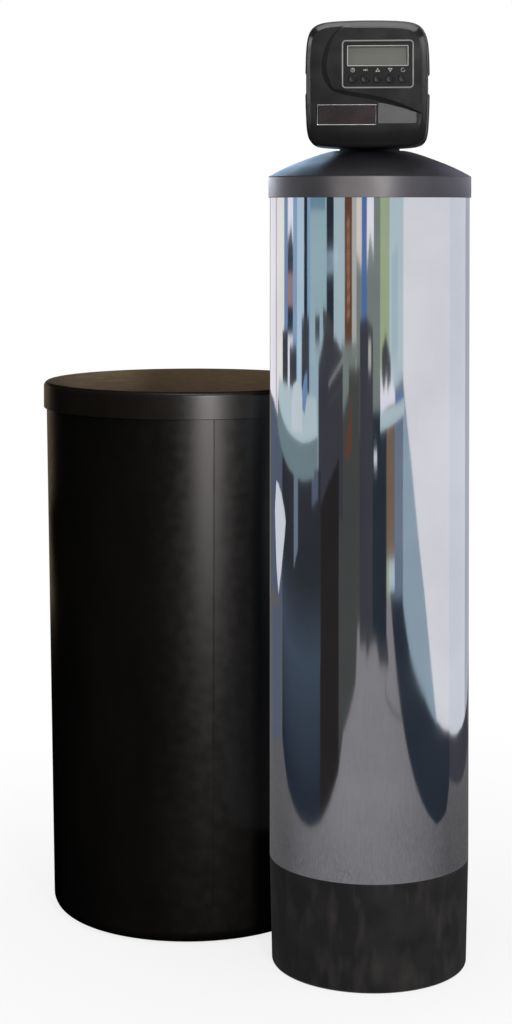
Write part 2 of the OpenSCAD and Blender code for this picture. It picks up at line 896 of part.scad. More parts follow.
module display_overlay() {
    color([0.07, 0.07, 0.08])
        difference() {
            standing(bezel_back, overlay_w)
                rounded(bezel_w - 2 * bezel_rim - fit, bezel_h - 2 * bezel_rim - fit, bezel_round - bezel_rim,
                    [display_x, bezel_z]);
            standing(0, cover_depth - cover_back + 10)
                window_square(0);
            for (i = [-2 : 2])
                bar_y(display_x + i * button_pitch, buttons_z, button_r + fit + 0.1, panel_y - 5, 0);
        }
}

module display_bezel() {
    color([0.55, 0.56, 0.57])
        standing(bezel_back, bezel_back - bezel_front)
            difference() {
                rounded(bezel_w, bezel_h, bezel_round, [display_x, bezel_z]);
                rounded(bezel_w - 2 * bezel_rim, bezel_h - 2 * bezel_rim, bezel_round - bezel_rim,
                    [display_x, bezel_z]);
            }
}

module display_lens() {
    color([0.5, 0.52, 0.48])
        standing(bezel_back + lens_w, lens_w)
            window_square(lens_rim);
}

module badge_plate() {
    color([0.15, 0.14, 0.14])
        standing(badge_back, 2)
            rounded(badge_w - 2 * badge_rim - fit, badge_h - 2 * badge_rim - fit, 1, [badge_x, badge_z]);
}

module badge_frame() {
    color([0.75, 0.75, 0.77])
        standing(badge_back, 3)
            difference() {
                rounded(badge_w, badge_h, 2, [badge_x, badge_z]);
                rounded(badge_w - 2 * badge_rim, badge_h - 2 * badge_rim, 1, [badge_x, badge_z]);
            }
}

// A button with the flange that keeps it in the cover and the stem that reaches its switch
module button(place) {
    x = display_x + place * button_pitch;
    flange_front = face_in + fit;
    color([0.09, 0.09, 0.1])
        union() {
            bar_y(x, buttons_z, button_r, button_front, flange_front + 0.5);
            bar_y(x, buttons_z, button_r + button_flange, flange_front, flange_front + 1.2);
            bar_y(x, buttons_z, 2.5, flange_front + 1, button_back);
        }
}

module button_clock() {
    button(-2);
}

module button_next() {
    button(-1);
}

module button_up() {
    button(0);
}

module button_down() {
    button(1);
}

module button_start() {
    button(2);
}

// Valve fittings

module injector_cap() {
    cap_r = injector_bore + 6.5;
    grips = 8;
    color([0.12, 0.12, 0.13])
        translate([injector_x, tower_y, injector_top])
            difference() {
                union() {
                    cylinder(r = cap_r, h = 11);
                    translate([0, 0, -8])
                        cylinder(r = injector_bore - fit, h = 9);
                }
                for (i = [0 : grips - 1])
                    rotate([0, 0, 360 * (i + 0.5) / grips])
                        translate([cap_r + 1.5, 0, 3])
                            cylinder(r = 3, h = 10);
            }
}

module injector() {
    color([0.7, 0.2, 0.15])
        translate([injector_x, tower_y, injector_top - 26])
            difference() {
                cylinder(r = injector_bore - fit, h = 18);
                translate([0, 0, -1])
                    cylinder(r = 2.2, h = 20);
            }
}

// An elbow that turns on a spigot and opens towards +Y
module elbow(at, top, spigot, spigot_h, bore, reach, bore_depth) {
    arm_r = bore / 2 + 2.6;
    arm_z = top + arm_r + 3;
    translate([at[0], at[1], 0])
        difference() {
            union() {
                translate([0, 0, top - spigot_h])
                    cylinder(r = spigot, h = spigot_h + 1);
                translate([0, 0, top + fit])
                    cylinder(r = arm_r + 0.8, h = 2 * arm_r + 4);
                bar_y(0, arm_z, arm_r, 0, reach);
            }
            bar_y(0, arm_z, bore / 2, reach - bore_depth, reach + 1);
            bar_y(0, arm_z, bore / 3, 0, reach);
            translate([0, 0, top - spigot_h - 1])
                cylinder(r = bore / 3 - 0.4, h = arm_z - top + spigot_h + 1);
        }
}

module drain_elbow() {
    color([0.14, 0.14, 0.15])
        elbow([drain_x, tower_y], drain_top, drain_spigot, 12, drain_bore, 38, 18);
}

module refill_elbow() {
    color([0.14, 0.14, 0.15])
        elbow([0, refill_y], refill_top, refill_spigot, 10, tube_bore, 30, 14);
}

meter_y = 32;
meter_l = 12;
axle_r = 1.5;

module meter_turbine() {
    blades = 6;
    reach = port_bore / 2 - 1.2;
    color([0.2, 0.35, 0.65])
        difference() {
            union() {
                bar_y(-port_x, port_z, 4, meter_y, meter_y + meter_l);
                for (i = [0 : blades - 1])
                    translate([-port_x, meter_y + meter_l / 2, port_z])
                        rotate([0, 360 * i / blades, 0])
                            rotate([0, 0, 30])
                                translate([-0.6, -meter_l / 2 + 2, 3])
                                    cube([1.2, meter_l - 4, reach - 3]);
            }
            bar_y(-port_x, port_z, axle_r + fit, meter_y - 1, meter_y + meter_l + 1);
        }
}

module meter_cage() {
    start = meter_y + meter_l + 2;
    cage_r = port_bore / 2 - fit;
    color([0.25, 0.3, 0.4])
        union() {
            tube_y(-port_x, port_z, cage_r, cage_r - 1.8, start, start + 5);
            for (i = [0 : 2])
                translate([-port_x, start + 2.5, port_z])
                    rotate([0, 120 * i, 0])
                        translate([-0.8, -2.5, axle_r - 0.5])
                            cube([1.6, 5, cage_r - axle_r - 0.5]);
            bar_y(-port_x, port_z, axle_r, meter_y - 2, start + 4);
        }
}

module port_nuts() {
    grips = 8;
    color([0.12, 0.12, 0.13])
        for (s = [-1, 1])
            difference() {
                bar_y(s * port_x, port_z, nut_r, nut_start, port_end + tail_flange + nut_lip);
                bar_y(s * port_x, port_z, port_collar_r + fit, nut_start - 1, port_end + tail_flange + fit);
                bar_y(s * port_x, port_z, tail_r + fit, nut_start, port_end + tail_flange + nut_lip + 1);
                for (i = [0 : grips - 1])
                    translate([s * port_x, 0, port_z])
                        rotate([0, 360 * i / grips, 0])
                            bar_y(nut_r + 2, 0, 4, nut_start - 1, port_end + tail_flange + nut_lip + 1);
            }
}

module port_orings() {
    color([0.1, 0.1, 0.1])
        for (s = [-1, 1])
            translate([s * port_x, port_end + 1.7, port_z])
                rotate([90, 0, 0])
                    rotate_extrude()
                        translate([port_bore / 2 + 3.5, 0])
                            circle(r = 1.6, $fn = 32);
}

// A tail that the nut holds against the port, with a socket for the supply pipe
module tail(x) {
    start = port_end + tail_flange;
    seal_r = port_bore / 2 + 3.5;
    difference() {
        union() {
            bar_y(x, port_z, tail_flange_r, port_end, start);
            bar_y(x, port_z, tail_r, start - 1, start + 8 + socket_depth);
        }
        bar_y(x, port_z, port_bore / 2, port_end - 1, start + 10);
        bar_y(x, port_z, socket_bore / 2, start + 8, start + 9 + socket_depth);
        tube_y(x, port_z, seal_r + 2, seal_r - 2, port_end - 1, port_end + 3.6);
    }
}

module inlet_tail() {
    color([0.3, 0.31, 0.33])
        tail(port_x);
}

module outlet_tail() {
    color([0.3, 0.31, 0.33])
        tail(-port_x);
}

// Brine tank group

module at_brine() {
    translate([brine_at[0], brine_at[1], 0])
        children();
}

module at_well() {
    translate([brine_at[0], brine_at[1] + well_offset, 0])
        children();
}

module at_overflow() {
    at_brine()
        rotate([0, 0, overflow_bearing - 90])
            children();
}

module brine_tank() {
    hole_r = fitting_r + 1;
    edge_in = max(tub_edge - tub_wall, 2);
    foot_ri = tub_foot_r - tub_wall;
    color([0.04, 0.04, 0.04])
        difference() {
            at_brine()
                rotate_extrude()
                    polygon(concat(
                        [[0, 0]],
                        arc([tub_foot_r - tub_edge, tub_edge], tub_edge, tub_edge, -90, 0, 10),
                        [[tub_top_r, tub_h], [tub_top_r - tub_wall, tub_h]],
                        arc([foot_ri - edge_in, tub_floor + edge_in], edge_in, edge_in, 0, -90, 10),
                        [[0, tub_floor]]));
            at_well()
                bar_y(valve_x, fitting_z, hole_r, 0, tub_top_r);
            at_overflow()
                bar_y(0, overflow_z, stem_d / 2 + 2 + fit, tub_foot_r - 20, tub_top_r + 20);
        }
}

module brine_lid() {
    crown = 1.5;
    color([0.05, 0.045, 0.04])
        at_brine()
            rotate_extrude()
                polygon(concat(
                    [[0, brine_h + crown]],
                    arc([lid_r - lid_edge, brine_h - lid_edge], lid_edge, lid_edge, 90, 0, 8),
                    [[lid_r, brine_h - lid_skirt], [lid_r - lid_wall, brine_h - lid_skirt],
                        [lid_r - lid_wall, brine_h - lid_wall], [0, brine_h - lid_wall]]));
}

module salt_grid() {
    rows = [[60, 10], [105, 18], [150, 26], [190, 32]];
    color([0.2, 0.2, 0.21])
        difference() {
            at_brine()
                translate([0, 0, grid_z])
                    cylinder(r = grid_r, h = grid_w);
            at_well()
                translate([0, 0, grid_z - 1])
                    cylinder(r = well_r + 2, h = grid_w + 2);
            at_brine()
                for (row = rows, i = [0 : row[1] - 1])
                    let (a = 90 + 360 * (i + 0.5) / row[1], p = polar(row[0], a))
                        if (norm(p - [0, well_offset]) > well_r + 14 && row[0] < grid_r - 12)
                            translate([p[0], p[1], grid_z - 1])
                                cylinder(r = 6, h = grid_w + 2, $fn = 24);
        }
}

module grid_legs() {
    color([0.25, 0.25, 0.26])
        at_brine()
            for (a = [200, 270, 340, 30])
                rotate([0, 0, a])
                    translate([grid_r - 68, 0, 0])
                        ring(leg_r, leg_r - 3, tub_floor, grid_z);
}

module brine_well() {
    slots = 6;
    color([0.75, 0.75, 0.74])
        difference() {
            at_well()
                ring(well_r, well_r - well_wall, tub_floor, well_top);
            at_well()
                for (i = [0 : slots - 1])
                    rotate([0, 0, 360 * i / slots])
                        translate([well_r / 2, -well_slot_w / 2, well_slot_low])
                            cube([well_r, well_slot_w, well_slot_h]);
            at_well()
                bar_y(valve_x, fitting_z, fitting_r + 1, 0, tub_top_r);
        }
}

module well_cap() {
    color([0.08, 0.08, 0.08])
        at_well()
            difference() {
                translate([0, 0, well_top - cap_skirt])
                    cylinder(r = well_r + fit + cap_wall, h = cap_skirt + cap_top);
                translate([0, 0, well_top - cap_skirt - 1])
                    cylinder(r = well_r + fit, h = cap_skirt + 1);
            }
}

module float_valve() {
    color([0.85, 0.85, 0.83])
        at_well()
            difference() {
                union() {
                    translate([valve_x, 0, valve_low])
                        cylinder(r = valve_r, h = valve_h);
                    bar_y(valve_x, fitting_z, boss_r, 0, boss_l);
                    translate([valve_x, -5, guide_low])
                        cube([rod_x - valve_x, 10, guide_h]);
                    translate([rod_x, 0, guide_low])
                        cylinder(r = 7, h = guide_h);
                }
                translate([rod_x, 0, valve_low])
                    cylinder(r = float_rod_r + fit, h = valve_h);
                translate([valve_x, 0, valve_low - 1])
                    cylinder(r = pickup_r + fit / 2, h = pickup_seat + 1);
                translate([valve_x, 0, valve_low])
                    cylinder(r = 3, h = valve_h / 2 + 5);
                bar_y(valve_x, fitting_z, tube_bore / 2 - 1.5, 0, boss_l + 1);
            }
}

module pickup_tube() {
    low = tub_floor + 2 * fit;
    slots = 6;
    slot_w = 4;
    slot_h = 8;
    chamber_low = low + 4;
    chamber_r = check_r / 2;
    chamber_h = slot_h + 4;
    slot_low = chamber_low + (chamber_h - slot_h) / 2;
    color([0.8, 0.8, 0.78])
        at_well()
            translate([valve_x, 0, 0])
                difference() {
                    union() {
                        translate([0, 0, low])
                            cylinder(r = check_r, h = check_h);
                        translate([0, 0, low + check_h - 1])
                            cylinder(r = pickup_r, h = valve_low + pickup_seat - low - check_h);
                    }
                    translate([0, 0, chamber_low])
                        cylinder(r = chamber_r, h = chamber_h);
                    translate([0, 0, chamber_low + chamber_h - 1])
                        cylinder(r = pickup_r / 2, h = fitting_z);
                    for (i = [0 : slots - 1])
                        rotate([0, 0, 360 * i / slots])
                            translate([chamber_r - slot_w / 2, -slot_w / 2, slot_low])
                                cube([check_r, slot_w, slot_h]);
                }
}

module brine_fitting() {
    wall_y = tub_r(fitting_z) - well_offset;
    flange_w = 6;
    color([0.2, 0.2, 0.21])
        at_well()
            difference() {
                union() {
                    bar_y(valve_x, fitting_z, fitting_r, boss_l, wall_y + fitting_out);
                    bar_y(valve_x, fitting_z, 14, wall_y + fit, wall_y + fit + flange_w);
                }
                bar_y(valve_x, fitting_z, tube_bore / 2 - 1.5, boss_l - 1, wall_y + fitting_out);
                bar_y(valve_x, fitting_z, tube_bore / 2, wall_y + fitting_out - 14, wall_y + fitting_out + 1);
            }
}

module float_rod() {
    collar = 3;
    seats = [float_low - collar, guide_low - float_lift - fit - collar, guide_low + guide_h + fit];
    color([0.75, 0.75, 0.76])
        at_well()
            union() {
                translate([rod_x, 0, rod_low])
                    cylinder(r = float_rod_r, h = fitting_z + 40 - rod_low);
                for (z = seats)
                    translate([rod_x, 0, z])
                        cylinder(r = 6, h = collar);
            }
}

module float() {
    color([0.9, 0.88, 0.82])
        at_well()
            translate([rod_x, 0, float_low])
                difference() {
                    cylinder(r = float_r, h = float_h);
                    translate([0, 0, -1])
                        cylinder(r = float_rod_r + fit, h = float_h + 2);
                }
}

module overflow_fitting() {
    wall_y = tub_r(overflow_z);
    tube_r = stem_d / 2 + 2;
    color([0.2, 0.2, 0.21])
        at_overflow()
            difference() {
                union() {
                    bar_y(0, overflow_z, tube_r, wall_y - tub_wall - 14, wall_y + 6);
                    bar_y(0, overflow_z, tube_r + 6, wall_y + fit, wall_y + 6);
                    bar_y(0, overflow_z, stem_d / 2, wall_y + 5, wall_y + 32);
                }
                bar_y(0, overflow_z, stem_d / 2 - 2.5, wall_y - tub_wall - 15, wall_y + 33);
            }
}

module overflow_nut() {
    wall_y = tub_r(overflow_z) - tub_wall;
    tube_r = stem_d / 2 + 2;
    color([0.25, 0.25, 0.26])
        at_overflow()
            difference() {
                translate([0, wall_y - 9, overflow_z])
                    rotate([-90, 0, 0])
                        cylinder(r = tube_r + 8, h = 8, $fn = 6);
                bar_y(0, overflow_z, tube_r + fit / 2, wall_y - 20, wall_y + 1);
            }
}

tank_base();
mineral_tank();
steel_jacket();
dome_cover();
riser_tube();
lower_distributor();
upper_basket();
gravel_bed();
resin_bed();
tank_oring();
valve_body();
stack_spacers();
stack_seals();
main_piston();
piston_rod();
drive_cap();
main_gear();
reduction_gear_1();
reduction_gear_2();
motor_pinion();
drive_motor();
drive_bracket();
gear_pins();
gear_plate();
circuit_board();
lcd_module();
front_cover();
display_overlay();
display_bezel();
display_lens();
badge_plate();
badge_frame();
button_clock();
button_next();
button_up();
button_down();
button_start();
injector_cap();
injector();
drain_elbow();
refill_elbow();
meter_turbine();
meter_cage();
port_nuts();
port_orings();
inlet_tail();
outlet_tail();
brine_tank();
brine_lid();
salt_grid();
grid_legs();
brine_well();
well_cap();
float_valve();
pickup_tube();
brine_fitting();
float_rod();
float();
overflow_fitting();
overflow_nut();
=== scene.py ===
"""Looks, light and camera of a two-tank water softener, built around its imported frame.

Shapes are written in millimetres in the frame of the part, and turned into metres when a mesh is made.
The valve faces -Y, and bearings of the set are degrees from -Y towards +X around the resin tank.
"""
import math

import bmesh
import bpy
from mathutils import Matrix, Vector
from mathutils.geometry import tessellate_polygon


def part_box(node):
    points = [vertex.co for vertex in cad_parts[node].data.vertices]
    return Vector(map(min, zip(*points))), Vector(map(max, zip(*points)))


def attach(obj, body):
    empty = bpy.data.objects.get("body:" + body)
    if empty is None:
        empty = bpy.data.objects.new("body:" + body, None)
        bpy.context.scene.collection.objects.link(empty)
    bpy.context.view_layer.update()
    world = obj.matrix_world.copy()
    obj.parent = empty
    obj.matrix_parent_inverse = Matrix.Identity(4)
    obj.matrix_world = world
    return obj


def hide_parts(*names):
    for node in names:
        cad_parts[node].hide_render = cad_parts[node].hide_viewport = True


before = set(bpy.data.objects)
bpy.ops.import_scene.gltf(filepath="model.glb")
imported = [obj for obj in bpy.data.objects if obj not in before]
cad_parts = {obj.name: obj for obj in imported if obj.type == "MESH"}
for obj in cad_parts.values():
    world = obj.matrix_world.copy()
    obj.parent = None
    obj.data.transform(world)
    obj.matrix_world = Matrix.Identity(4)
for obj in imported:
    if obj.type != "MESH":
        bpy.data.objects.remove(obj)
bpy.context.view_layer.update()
MM = 0.001
TURN = 2 * math.pi
scene = bpy.context.scene


def rgb(red, green, blue):
    """A colour written in 0 to 255 as it shows on a screen, as linear values."""
    shares = [c / 255 for c in (red, green, blue)]
    return tuple(s / 12.92 if s <= 0.04045 else ((s + 0.055) / 1.055) ** 2.4 for s in shares) + (1.0,)


def smooth(low, high, value):
    """Goes from 0 at low to 1 at high without a kink."""
    t = min(1.0, max(0.0, (value - low) / (high - low)))
    return t * t * (3 - 2 * t)


def between(points, t):
    """A value at t from (t, value) pairs, eased from pair to pair."""
    for (t0, v0), (t1, v1) in zip(points, points[1:]):
        if t <= t1:
            return v0 + (v1 - v0) * smooth(t0, t1, t)
    return points[-1][1]


# Materials


class Nodes:
    """Nodes of a material or of the world, with helpers to add and join them."""

    def __init__(self, owner):
        self.owner = owner
        owner.use_nodes = True
        self.tree = owner.node_tree

    def node(self, kind, operation=None, **inputs):
        made = self.tree.nodes.new(kind)
        if operation:
            made.operation = operation
        for name, value in inputs.items():
            self.put(made.inputs[name.replace("_", " ")], value)
        return made

    def put(self, socket, value):
        if isinstance(value, bpy.types.NodeSocket):
            self.tree.links.new(value, socket)
        else:
            socket.default_value = value

    def span(self, value, low, high, start=0.35, end=0.65):
        """Maps a value from start..end to low..high."""
        ends = {"From_Min": start, "From_Max": end, "To_Min": low, "To_Max": high}
        return self.node("ShaderNodeMapRange", Value=value, **ends).outputs["Result"]

    def mix(self, share, first, second):
        made = self.tree.nodes.new("ShaderNodeMix")
        made.data_type = "RGBA"
        for number, value in ((0, share), (6, first), (7, second)):
            self.put(made.inputs[number], value)
        return made.outputs[2]


class Look(Nodes):
    """A material on one Principled shader, with helpers for its textures."""

    def __init__(self, name, metallic=0.0, specular=0.5):
        super().__init__(bpy.data.materials.new(name))
        self.material = self.owner
        self.shader = self.tree.nodes["Principled BSDF"]
        self.place = self.node("ShaderNodeTexCoord").outputs["Object"]
        self.set(Metallic=metallic, Specular_IOR_Level=specular)

    def set(self, **inputs):
        for name, value in inputs.items():
            self.put(self.shader.inputs[name.replace("_", " ")], value)

    def noise(self, size, detail=2.0, stretch=(1.0, 1.0, 1.0)):
        """Noise whose grains are about size millimetres, drawn out where stretch is below 1."""
        place = self.node("ShaderNodeMapping", Vector=self.place, Scale=stretch).outputs["Vector"]
        made = self.node("ShaderNodeTexNoise", Vector=place, Detail=detail, Scale=1 / (size * MM))
        return made.outputs["Fac"]

    def bump(self, layers):
        """Stacks bumps, each a (height socket, millimetres) pair."""
        below = {}
        for height, depth in layers:
            made = self.node("ShaderNodeBump", Height=height, Distance=depth * MM, **below)
            below = {"Normal": made.outputs["Normal"]}
        self.set(**below)

    def finish(self, patches, dark, light, gloss, rough, layers):
        """Colour from dark to light by one texture, roughness by another, and bumps."""
        self.set(Base_Color=self.mix(self.span(patches, 0.0, 1.0), dark, light))
        self.set(Roughness=self.span(gloss, *rough))
        self.bump(layers)
        return self


def plastic(name, light, dark, rough=(0.35, 0.5), grain=0.9, depth=0.01, specular=0.5, patch=60.0):
    """Moulded plastic: patchy colour, patchy gloss and a moulded grain."""
    look = Look(name, specular=specular)
    return look.finish(look.noise(patch, 4.0), dark, light, look.noise(patch * 0.6, 3.0), rough,
                       [(look.noise(grain), depth)])


def metal(name, light, dark, rough):
    """Metal with a fine grain."""
    look = Look(name, metallic=1.0)
    grain = look.noise(0.8, 3.0)
    return look.finish(look.noise(25.0, 3.0), dark, light, grain, rough, [(grain, 0.004)])


def polished_steel():
    """Mirror sheet with a faint wave from rolling and a trace of fine scratches and haze."""
    look = Look("polished_steel", metallic=1.0)
    haze = look.noise(140.0, 5.0)
    wave = look.noise(70.0, 1.5, (1.0, 1.0, 0.3))
    scratch = look.noise(1.2, stretch=(1.0, 1.0, 0.04))
    return look.finish(haze, rgb(220, 221, 226), rgb(230, 231, 235), haze, (0.035, 0.075),
                       [(wave, 0.16), (scratch, 0.0012)])


def dusty_base():
    """Black base with worn patches and lighter, dusty vertical smears."""
    look = Look("base_black", specular=0.3)
    clouds = look.span(look.noise(55.0, detail=6.0), 0.0, 1.0, 0.42, 0.72)
    smears = look.span(look.noise(22.0, detail=5.0, stretch=(1.0, 1.0, 0.35)), 0.0, 1.0, 0.5, 0.75)
    plain = look.mix(clouds, rgb(33, 33, 34), rgb(47, 44, 43))
    look.set(Base_Color=look.mix(smears, plain, rgb(60, 55, 53)))
    look.set(Roughness=look.span(clouds, 0.42, 0.62, 0.0, 1.0))
    look.bump([(look.noise(1.4), 0.03), (look.noise(30.0, detail=3.0), 0.15)])
    return look


def tub_plastic(name, light, dark):
    """Roto-moulded polyethylene, nearly black, with a soft skin and a slow wave in the wall."""
    look = Look(name, specular=0.55)
    patches = look.noise(80.0, 4.0, (1.0, 1.0, 0.4))
    wave = look.noise(120.0, 1.5, (1.0, 1.0, 0.4))
    return look.finish(patches, dark, light, look.noise(18.0, 4.0), (0.29, 0.34),
                       [(look.noise(2.2, 3.0), 0.025), (wave, 0.12)])


def badge_face():
    """Dark satin plate with a fine brushed grain along its length."""
    look = Look("badge_dark", metallic=0.7)
    brush = look.noise(0.5, 3.0, (0.04, 1.0, 1.0))
    return look.finish(look.noise(30.0), rgb(52, 45, 46), rgb(66, 57, 58), brush, (0.26, 0.36),
                       [(brush, 0.0015)])


def lcd_glass():
    """Unlit display: grey-green with a faint cell texture."""
    look = Look("lcd_grey", specular=0.3)
    cells = look.noise(0.9, 1.0)
    return look.finish(cells, rgb(118, 119, 110), rgb(126, 127, 117), look.noise(12.0), (0.4, 0.55),
                       [(cells, 0.004)])


def clear_lens():
    """Thin clear sheet that lets the display show and keeps its own gloss."""
    look = Look("lens_clear", specular=0.4)
    film = look.noise(20.0, detail=2.0)
    look.set(Base_Color=look.mix(film, rgb(120, 122, 114), rgb(140, 142, 134)))
    look.set(Alpha=0.1, Roughness=look.span(film, 0.06, 0.14))
    look.bump([(film, 0.004)])
    look.material.surface_render_method = "BLENDED"
    return look


def grains(name, light, dark, size, depth):
    """A bed of grains or beads, each darker towards its edge as painted shade in the gaps between them."""
    look = Look(name, specular=0.3)
    cells = look.node("ShaderNodeTexVoronoi", Vector=look.place, Scale=1 / (size * MM)).outputs["Distance"]
    tint = look.mix(look.span(look.noise(size * 1.7), 0.0, 1.0), dark, light)
    # Painted shade: each grain darkens from its middle towards its edge, where the gaps between grains lie
    look.set(Base_Color=look.mix(look.span(cells, 0.0, 1.0, 0.0, 0.9), tint, dark))
    look.set(Roughness=look.span(look.noise(size), 0.5, 0.8))
    look.bump([(cells, -depth)])
    return look


# Light and dark colour, roughness, size and depth of the grain, specular level and size of the patches
PLASTICS = {
    "vessel_grey": ((70, 74, 80), (58, 62, 68), (0.4, 0.6), 2.5, 0.05),
    "dome_grey": ((63, 61, 66), (57, 55, 60), (0.36, 0.43), 0.8, 0.012, 0.75),
    "pipe_white": ((226, 226, 220), (212, 211, 203), (0.3, 0.45), 1.2, 0.01),
    "seal_rubber": ((38, 38, 38), (28, 28, 28), (0.55, 0.75), 0.6, 0.015),
    "valve_black": ((44, 44, 46), (36, 36, 38), (0.4, 0.55), 0.7, 0.015),
    "spacer_cream": ((222, 218, 200), (206, 201, 182), (0.35, 0.5), 1.0, 0.01),
    "piston_grey": ((205, 205, 209), (188, 188, 193), (0.3, 0.42), 0.8, 0.006),
    "gear_white": ((232, 227, 208), (218, 212, 190)),
    "board_green": ((34, 104, 58), (26, 86, 46), (0.35, 0.5), 1.6, 0.01, 0.5, 9.0),
    "cover_black": ((37, 38, 37), (32, 33, 32), (0.19, 0.26), 0.55, 0.004),
    "overlay_black": ((33, 33, 32), (28, 28, 28), (0.36, 0.44), 0.5, 0.004, 0.2),
    "bezel_grey": ((150, 150, 148), (136, 136, 134), (0.28, 0.4), 0.7, 0.006),
    "button_black": ((36, 36, 37), (31, 31, 32), (0.3, 0.4), 0.6, 0.01, 0.25),
    "injector_red": ((178, 58, 44), (156, 46, 36)),
    "meter_blue": ((62, 92, 150), (50, 78, 132)),
    "tail_grey": ((84, 86, 90), (72, 74, 78), (0.4, 0.55), 0.9, 0.012),
    "float_cream": ((228, 223, 206), (212, 206, 188), (0.5, 0.7), 3.0, 0.06),
    "line_grey": ((196, 196, 192), (180, 180, 176), (0.35, 0.5), 0.6, 0.004),
}
METALS = {
    "rod_steel": ((200, 200, 204), (180, 180, 185), (0.2, 0.36)),
    "brass": ((206, 172, 104), (184, 148, 82), (0.22, 0.38)),
    "badge_chrome": ((216, 214, 214), (198, 195, 196), (0.1, 0.2)),
}
LOOKS = {
    "base_black": dusty_base(),
    "polished_steel": polished_steel(),
    "gravel": grains("gravel", rgb(165, 152, 134), rgb(108, 98, 86), 5.0, 1.5),
    "resin": grains("resin", rgb(176, 112, 44), rgb(120, 70, 24), 1.4, 0.4),
    "lcd_grey": lcd_glass(),
    "lens_clear": clear_lens(),
    "badge_dark": badge_face(),
    "tub_black": tub_plastic("tub_black", rgb(15, 13, 11), rgb(10, 9, 8)),
    # The lid's plastic is a lighter, browner copy of the tub's: a painted warm sheen for the light that
    # falls on the lid
    "lid_sheen_black": tub_plastic("lid_sheen_black", rgb(26, 22, 18), rgb(19, 16, 13)),
}
for maker, table in ((plastic, PLASTICS), (metal, METALS)):
    for name, (light, dark, *rest) in table.items():
        LOOKS[name] = maker(name, rgb(*light), rgb(*dark), *rest)

for cad_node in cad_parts.values():
    for holder in cad_node.material_slots:
        holder.material = LOOKS[holder.material.name.split(".")[0]].material


# Mesh helpers


class Skin:
    """Points and faces of one piece, in millimetres."""

    def __init__(self):
        self.points = []
        self.faces = []

    def loop(self, points):
        start = len(self.points)
        self.points += [tuple(p) for p in points]
        return list(range(start, len(self.points)))

    def band(self, first, second):
        """Joins two closed loops; a loop of one point closes the band to a tip."""
        count = max(len(first), len(second))
        for i in range(count):
            j = (i + 1) % count
            if len(first) == 1:
                self.faces.append((first[0], second[j], second[i]))
            elif len(second) == 1:
                self.faces.append((first[i], first[j], second[0]))
            else:
                self.faces.append((first[i], first[j], second[j], second[i]))

    def loft(self, loops, closed=False):
        made = [self.loop(points) for points in loops]
        for first, second in zip(made, made[1:] + (made[:1] if closed else [])):
            if len(first) > 1 or len(second) > 1:
                self.band(first, second)
        return made

    def cap(self, outline, holes=()):
        """Fills a flat outline, leaving its holes open."""
        loops = [outline, *holes]
        order = [i for loop in loops for i in loop]
        corners = [[Vector(self.points[i]) for i in loop] for loop in loops]
        for triangle in tessellate_polygon(corners):
            self.faces.append(tuple(order[k] for k in triangle))


def make(name, skin, body, slot, stands_for=(), look="", sharp=30.0, weighted=False):
    """Turns a skin into a piece that rides on a body; its look is the slot's unless another is named."""
    mesh = bpy.data.meshes.new(name)
    mesh.from_pydata([Vector(p) * MM for p in skin.points], [], skin.faces)
    work = bmesh.new()
    work.from_mesh(mesh)
    bmesh.ops.remove_doubles(work, verts=work.verts, dist=1e-7)
    bmesh.ops.recalc_face_normals(work, faces=work.faces)
    work.to_mesh(mesh)
    work.free()
    mesh.shade_smooth()
    mesh.set_sharp_from_angle(angle=math.radians(sharp))
    mesh.materials.append(LOOKS[look or slot].material)
    piece = bpy.data.objects.new(name, mesh)
    scene.collection.objects.link(piece)
    if weighted:
        piece.modifiers.new("even_faces", "WEIGHTED_NORMAL").keep_sharp = True
    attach(piece, body)
    if stands_for:
        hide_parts(*stands_for)
    return piece


def filleted(corners, closed=True, step=12.0):
    """Points of an outline whose corners, each (u, v, radius), are rounded by arcs."""
    points = []
    count = len(corners)
    for i, (u, v, radius) in enumerate(corners):
        here = Vector((u, v))
        if not radius or (not closed and i in (0, count - 1)):
            points.append(here)
            continue
        before = (Vector(corners[i - 1][:2]) - here).normalized()
        after = (Vector(corners[(i + 1) % count][:2]) - here).normalized()
        half = before.angle(after) / 2
        centre = here + (before + after).normalized() * (radius / math.sin(half))
        start = here + before * (radius / math.tan(half)) - centre
        end = here + after * (radius / math.tan(half)) - centre
        sweep = math.atan2(start.x * end.y - start.y * end.x, start.dot(end))
        steps = max(2, round(math.degrees(abs(sweep)) / step))
        for k in range(steps + 1):
            a = sweep * k / steps
            turned = Vector((start.x * math.cos(a) - start.y * math.sin(a),
                             start.x * math.sin(a) + start.y * math.cos(a)))
            points.append(centre + turned)
    return [tuple(p) for p in points]


def even_angles(count):
    return [TURN * i / count for i in range(count)]


def lathe(profile, centre, angles, closed=True, swell=None):
    """A turned form: profile is (radius, height) points, and swell(angle, height) adds to the radius."""
    skin = Skin()
    loops = []
    for radius, z in profile:
        if radius < 1e-6:
            loops.append([(centre[0], centre[1], z)])
            continue
        loop = []
        for a in angles:
            r = radius + (swell(a, z) if swell else 0.0)
            loop.append((centre[0] + r * math.cos(a), centre[1] + r * math.sin(a), z))
        loops.append(loop)
    skin.loft(loops, closed)
    return skin


def ring_points(x, z, radius, start=0.0, sweep_by=TURN, steps=40):
    """Points of a circle or an arc in X and Z."""
    angles = [start + sweep_by * k / steps for k in range(steps)]
    return [(x + radius * math.cos(a), z + radius * math.sin(a)) for a in angles]


def turned_y(skin, profile, x, z, steps=48):
    """Adds a form turned round an axis along Y: profile is (radius, y) points from tip to tip."""
    loops = []
    for radius, y in profile:
        if radius < 1e-6:
            loops.append([(x, y, z)])
        else:
            loops.append([(u, y, v) for u, v in ring_points(x, z, radius, steps=steps)])
    skin.loft(loops)


